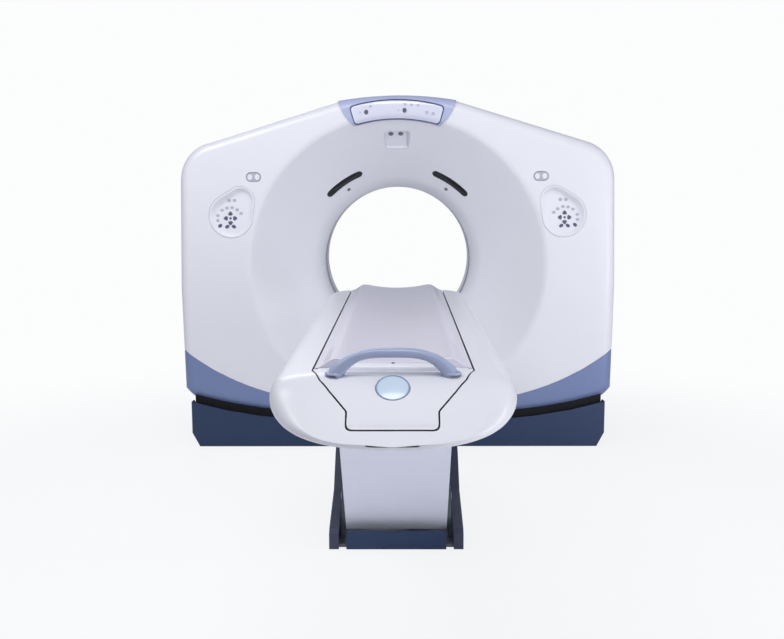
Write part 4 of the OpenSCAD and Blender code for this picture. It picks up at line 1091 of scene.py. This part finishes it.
def build_badge(turn):
    """A bare domed disc with a darker rim, set into the slope."""
    rows = []
    for radius, height in ((0.0426, -0.0028), (0.0426, 0.0010), (0.0418, 0.0022), (0.0396, 0.0024), (0.0384, 0.0012)):
        rows.append([(x, y, height) for x, y in circle(0.0, 0.0, radius, radius, 96)])
    rim = grid("badge_rim", rows)
    paint(sharpen(rim, 50), BADGE_RIM)
    rows = []
    for i in range(12):
        t = i / 11
        radius = 0.0386 * (1 - t) + 0.0004 * t
        height = 0.0010 + 0.0034 * (1 - (1 - t) ** 2)
        rows.append([(x, y, height) for x, y in circle(0.0, 0.0, radius, radius, 96)])
    dome = grid("badge_dome", rows)
    paint(sharpen(dome, 60), BADGE)
    for piece in (rim, dome):
        face_out(piece)
    badge = join("cradle_badge_disc", [rim, dome])
    badge.data.transform(turn)
    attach(badge, "cradle")
    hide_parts("cradle_badge")


def cradle_height(x):
    """Upper surface of the cradle across its width."""
    far = abs(x)
    rise = min(1.0, max(0.0, (CRADLE_HALF - 0.004 - far) / (CRADLE_HALF - 0.152)))
    side = TABLE_Z + 0.025 * rise * rise * (3 - 2 * rise)
    trough = TABLE_Z + 0.0095 + 0.0165 * (far / 0.142) ** 2
    k = 0.004
    h = max(0.0, min(1.0, 0.5 + 0.5 * (side - trough) / k))
    return side * (1 - h) + trough * h - k * h * (1 - h)


def build_cradle():
    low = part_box("cradle")[0][2] + 0.053
    xs = [-CRADLE_HALF + 0.004 + (2 * CRADLE_HALF - 0.008) * i / 108 for i in range(109)]
    section = [(-CRADLE_HALF, low), (-CRADLE_HALF, TABLE_Z - 0.004), (-CRADLE_HALF + 0.0012, TABLE_Z - 0.001)]
    section += [(x, cradle_height(x)) for x in xs]
    section += [(CRADLE_HALF - 0.0012, TABLE_Z - 0.001), (CRADLE_HALF, TABLE_Z - 0.004), (CRADLE_HALF, low)]
    rows = []
    for y, shrink in ((CRADLE_Y0, 0.002), (CRADLE_Y0 + 0.002, 0.0), (CRADLE_Y0 + 0.6, 0.0), (CRADLE_Y0 + 1.2, 0.0),
                      (CRADLE_Y1 - 0.004, 0.0), (CRADLE_Y1, 0.004)):
        rows.append([(x, y, z - shrink if z > low else z) for x, z in section])
    for at, y in ((0, CRADLE_Y0), (len(rows) + 1, CRADLE_Y1)):
        rows.insert(at, [(x, y, min(z, low + 0.003)) for x, z in section])
    top = grid("cradle_top", rows)
    fill_holes(top)
    paint(sharpen(top, 40), CRADLE_SKIN)
    pieces = [top]
    runner_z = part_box("cradle")[0][2]
    for side in (-1, 1):
        bar = rect(side * 0.150, CRADLE_Y0 + 0.080, side * 0.180, CRADLE_Y1)
        pieces.append(paint(slab("cradle_runner", bar, runner_z, low + 0.001), CRADLE_SKIN))
    cradle = join("cradle_board", pieces)
    bevel(cradle, 0.0014, 2, 50)
    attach(cradle, "cradle")
    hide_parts("cradle")


def build_handle():
    lo, hi = (Vector(corner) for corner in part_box("cradle_handle"))
    y_mid = (lo.y + hi.y) / 2
    rise = hi.z - TABLE_Z
    foot_x = 0.146
    thick, wide = 0.024, 0.034
    path = []
    steps = 64
    for i in range(steps + 1):
        u = -1 + 2 * i / steps
        x = foot_x * u
        z = TABLE_Z + (rise - thick / 2) * (1 - abs(u) ** 3.4)
        path.append(Vector((x, y_mid, z)))
    rows = []
    for i, here in enumerate(path):
        ahead = (path[min(i + 1, steps)] - path[max(i - 1, 0)]).normalized()
        side = Vector((0, 1, 0))
        up = ahead.cross(side) * -1
        if up.z < 0:
            up = -up
        end_share = max(0.0, abs(-1 + 2 * i / steps) - 0.60) / 0.40
        w = wide * (1 + 0.30 * end_share ** 1.5)
        t = thick * (1 + 0.55 * end_share)
        ring = []
        for k in range(32):
            a = TAU * k / 32
            ca, sa = math.cos(a), math.sin(a)
            scale = (abs(ca) ** 2.8 + abs(sa) ** 2.8) ** (-1 / 2.8)
            ring.append(here + side * (w / 2 * ca * scale) + up * (t / 2 * sa * scale))
        rows.append(ring)
    arch = grid("handle_arch", rows)
    fill_holes(arch)
    paint(sharpen(arch, 60), HANDLE_BLUE)
    pieces = [arch]
    for side in (-1, 1):
        rows = []
        for radius, height in ((0.0010, 0.0075), (0.014, 0.0074), (0.0205, 0.0064), (0.0240, 0.0042), (0.0248, 0.0015),
                               (0.0248, 0.0)):
            rows.append([(x, y, TABLE_Z + height) for x, y in circle(side * foot_x, y_mid, radius, radius, 64)])
        pieces.append(paint(sharpen(face_out(grid("handle_pad", rows)), 60), HANDLE_BLUE))
    handle = join("cradle_handle_arch", pieces)
    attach(handle, "cradle")
    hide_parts("cradle_handle")


# ---------- CAD nodes that are shown as they are ----------
def finish_nodes():
    plan = {
        NAVY: ("base_front_cover", "base_rear_cover", "base_side_covers", "table_kick_plate"),
        # The cheeks' lighter navy is a painted highlight.
        CHEEK_NAVY_PAINTED_HIGHLIGHT: ("table_base_cheeks",),
        FRAME_PAINT: ("gantry_base_frame", "stanchions", "tilt_frame", "table_base_frame",
                      "table_frame", "cover_rails", "floor_cable_duct"),
        WHITE: ("table_skirt",),
        PANEL_GREY: ("arm_cover_panel",),
        FILM: ("scan_window",),
        STEEL: ("tilt_bearings", "tilt_trunnions", "tilt_sector_gear", "tilt_pinion", "base_pivot_pins",
                "top_pivot_pins", "bearing_outer_race", "bearing_inner_race", "lift_sector_gear", "lift_pinion",
                "levelling_feet", "motor_pulley", "counterweight"),
        CAST: ("rotor_drum", "collimator", "lift_arm_front", "lift_arm_rear", "xray_tube", "high_voltage_tanks"),
        RUBBER: ("drive_belt", "drive_roller"),
        MOTOR: ("tilt_gearmotor", "lift_gearmotor", "rotor_motor", "cradle_motor", "detector_arc", "brush_block"),
        BRASS: ("slip_ring",),
    }
    for mat, names in plan.items():
        for name in names:
            repaint(name, mat)
    widths = {"base_front_cover": 0.004, "base_rear_cover": 0.004, "base_side_covers": 0.003,
              "table_kick_plate": 0.003, "arm_cover_panel": 0.003, "table_skirt": 0.002, "table_base_cheeks": 0.0015,
              "gantry_base_frame": 0.002, "stanchions": 0.002, "floor_cable_duct": 0.002, "lift_arm_front": 0.0015,
              "lift_arm_rear": 0.0015, "scan_window": 0.0008, "levelling_feet": 0.001, "table_base_frame": 0.0015}
    for name, width in widths.items():
        bevel(NODES[name], width, 2, 35)


# ---------- stage ----------
BACKGROUND = (0.975, 0.98, 0.985, 1)


def build_stage():
    size = 40.0
    corners = [(x, y, 0) for x, y in rect(-size, -size, size, size)]
    floor = add_mesh("studio_floor", corners, [(0, 1, 2, 3)], smooth=False)
    mat = bpy.data.materials.new("studio_floor_white")
    mat.use_nodes = True
    tree = mat.node_tree
    shader = tree.nodes["Principled BSDF"]
    shader.inputs["Base Color"].default_value = (0.93, 0.93, 0.94, 1)
    shader.inputs["Roughness"].default_value = 0.75
    place = add_node(tree, "TexCoord")
    grain = add_node(tree, "TexNoise", Scale=60)
    relief = add_node(tree, "Bump", Strength=0.01)
    split = add_node(tree, "SeparateXYZ")
    flat = add_node(tree, "CombineXYZ")
    far = add_node(tree, "VectorMath")
    far.operation = "LENGTH"
    fade = add_node(tree, "MapRange", From_Min=1.6, From_Max=3.6)
    fade.interpolation_type = "SMOOTHSTEP"
    glow = add_node(tree, "Emission", Color=BACKGROUND)
    path = add_node(tree, "LightPath")
    both = add_node(tree, "Math")
    both.operation = "MULTIPLY"
    lift = add_node(tree, "MapRange", To_Min=0.86)
    mix = add_node(tree, "MixShader")
    wire(tree, (place, "Object", grain, "Vector"), (grain, "Fac", relief, "Height"),
         (relief, "Normal", shader, "Normal"), (place, "Object", split, "Vector"),
         (split, "X", flat, "X"), (split, "Y", flat, "Y"), (flat, "Vector", far, 0),
         (far, "Value", fade, "Value"), (fade, "Result", lift, "Value"), (lift, "Result", both, 0),
         (path, "Is Camera Ray", both, 1), (both, "Value", mix, "Fac"), (shader, "BSDF", mix, 1),
         (glow, "Emission", mix, 2), (mix, "Shader", tree.nodes["Material Output"], "Surface"))
    paint(floor, mat)
    world = bpy.data.worlds.new("studio")
    bpy.context.scene.world = world
    world.use_nodes = True
    tree = world.node_tree
    back = tree.nodes["Background"]
    back.inputs["Color"].default_value = (0.80, 0.86, 1.0, 1)
    back.inputs["Strength"].default_value = 0.28
    seen = add_node(tree, "Background", Color=BACKGROUND, Strength=1.0)
    path = add_node(tree, "LightPath")
    mix = add_node(tree, "MixShader")
    wire(tree, (path, "Is Camera Ray", mix, "Fac"), (back, "Background", mix, 1), (seen, "Background", mix, 2),
         (mix, "Shader", tree.nodes["World Output"], "Surface"))


def area_light(name, place, target, size, power, color=(1, 1, 1)):
    data = bpy.data.lights.new(name, "AREA")
    data.shape = "RECTANGLE"
    data.size, data.size_y = size
    data.energy = power
    data.color = color
    obj = bpy.data.objects.new(name, data)
    obj.location = place
    obj.rotation_euler = (Vector(target) - Vector(place)).to_track_quat("-Z", "Y").to_euler()
    link(obj)


def build_lights():
    area_light("key_left_high", (-2.6, -2.4, 4.3), (-0.5, 0.6, 1.2), (2.2, 2.2), 55, (1.0, 0.99, 0.98))
    area_light("front_right", (3.4, -5.4, 1.9), (0.1, 0.4, 0.8), (3.0, 2.6), 59, (0.98, 0.98, 1.0))
    area_light("right_side", (5.0, -1.0, 1.8), (0.3, 0.6, 1.0), (2.0, 2.0), 44, (0.98, 0.98, 1.0))
    area_light("right_low", (2.8, -2.2, 0.7), (0.0, 0.6, 0.9), (1.2, 1.0), 19)
    area_light("roof_left", (-1.9, -0.7, 3.1), (-0.3, 1.0, 1.2), (1.4, 1.0), 16)
    area_light("over_table", (0.0, -2.2, 3.4), (0.0, 0.9, 0.9), (1.5, 1.2), 35)
    area_light("rear_high", (-1.6, 5.8, 3.8), (0.0, 1.6, 1.0), (3.0, 2.4), 60)


def build_camera():
    """The camera that shows the scanner from its foot end."""
    pitch, yaw, roll = math.radians(7.763), math.radians(0.597), math.radians(-0.2035)
    forward = Vector((-math.sin(yaw) * math.cos(pitch), math.cos(yaw) * math.cos(pitch), -math.sin(pitch)))
    right = forward.cross(Vector((0, 0, 1))).normalized()
    up = right.cross(forward)
    right, up = right * math.cos(roll) + up * math.sin(roll), up * math.cos(roll) - right * math.sin(roll)
    data = bpy.data.cameras.new("camera")
    data.lens = 44.01
    data.sensor_width = 36.0
    data.clip_end = 200
    camera = bpy.data.objects.new("camera", data)
    camera.matrix_world = Matrix((
        (right.x, up.x, -forward.x, 0.0226), (right.y, up.y, -forward.y, -4.0296),
        (right.z, up.z, -forward.z, 1.3336), (0, 0, 0, 1)))
    bpy.context.scene.camera = link(camera)


build_front()
build_band()
build_rear()
build_mid_covers()
build_bezel()
build_display()
build_pod()
build_lasers()
build_pads()
for call_side in (-1, 1):
    build_call_button(call_side)
foot_form = build_table_shell()
build_foot_cover(foot_form)
build_cradle()
build_handle()
finish_nodes()
build_stage()
build_lights()
build_camera()
bpy.context.scene.view_settings.view_transform = "Standard"
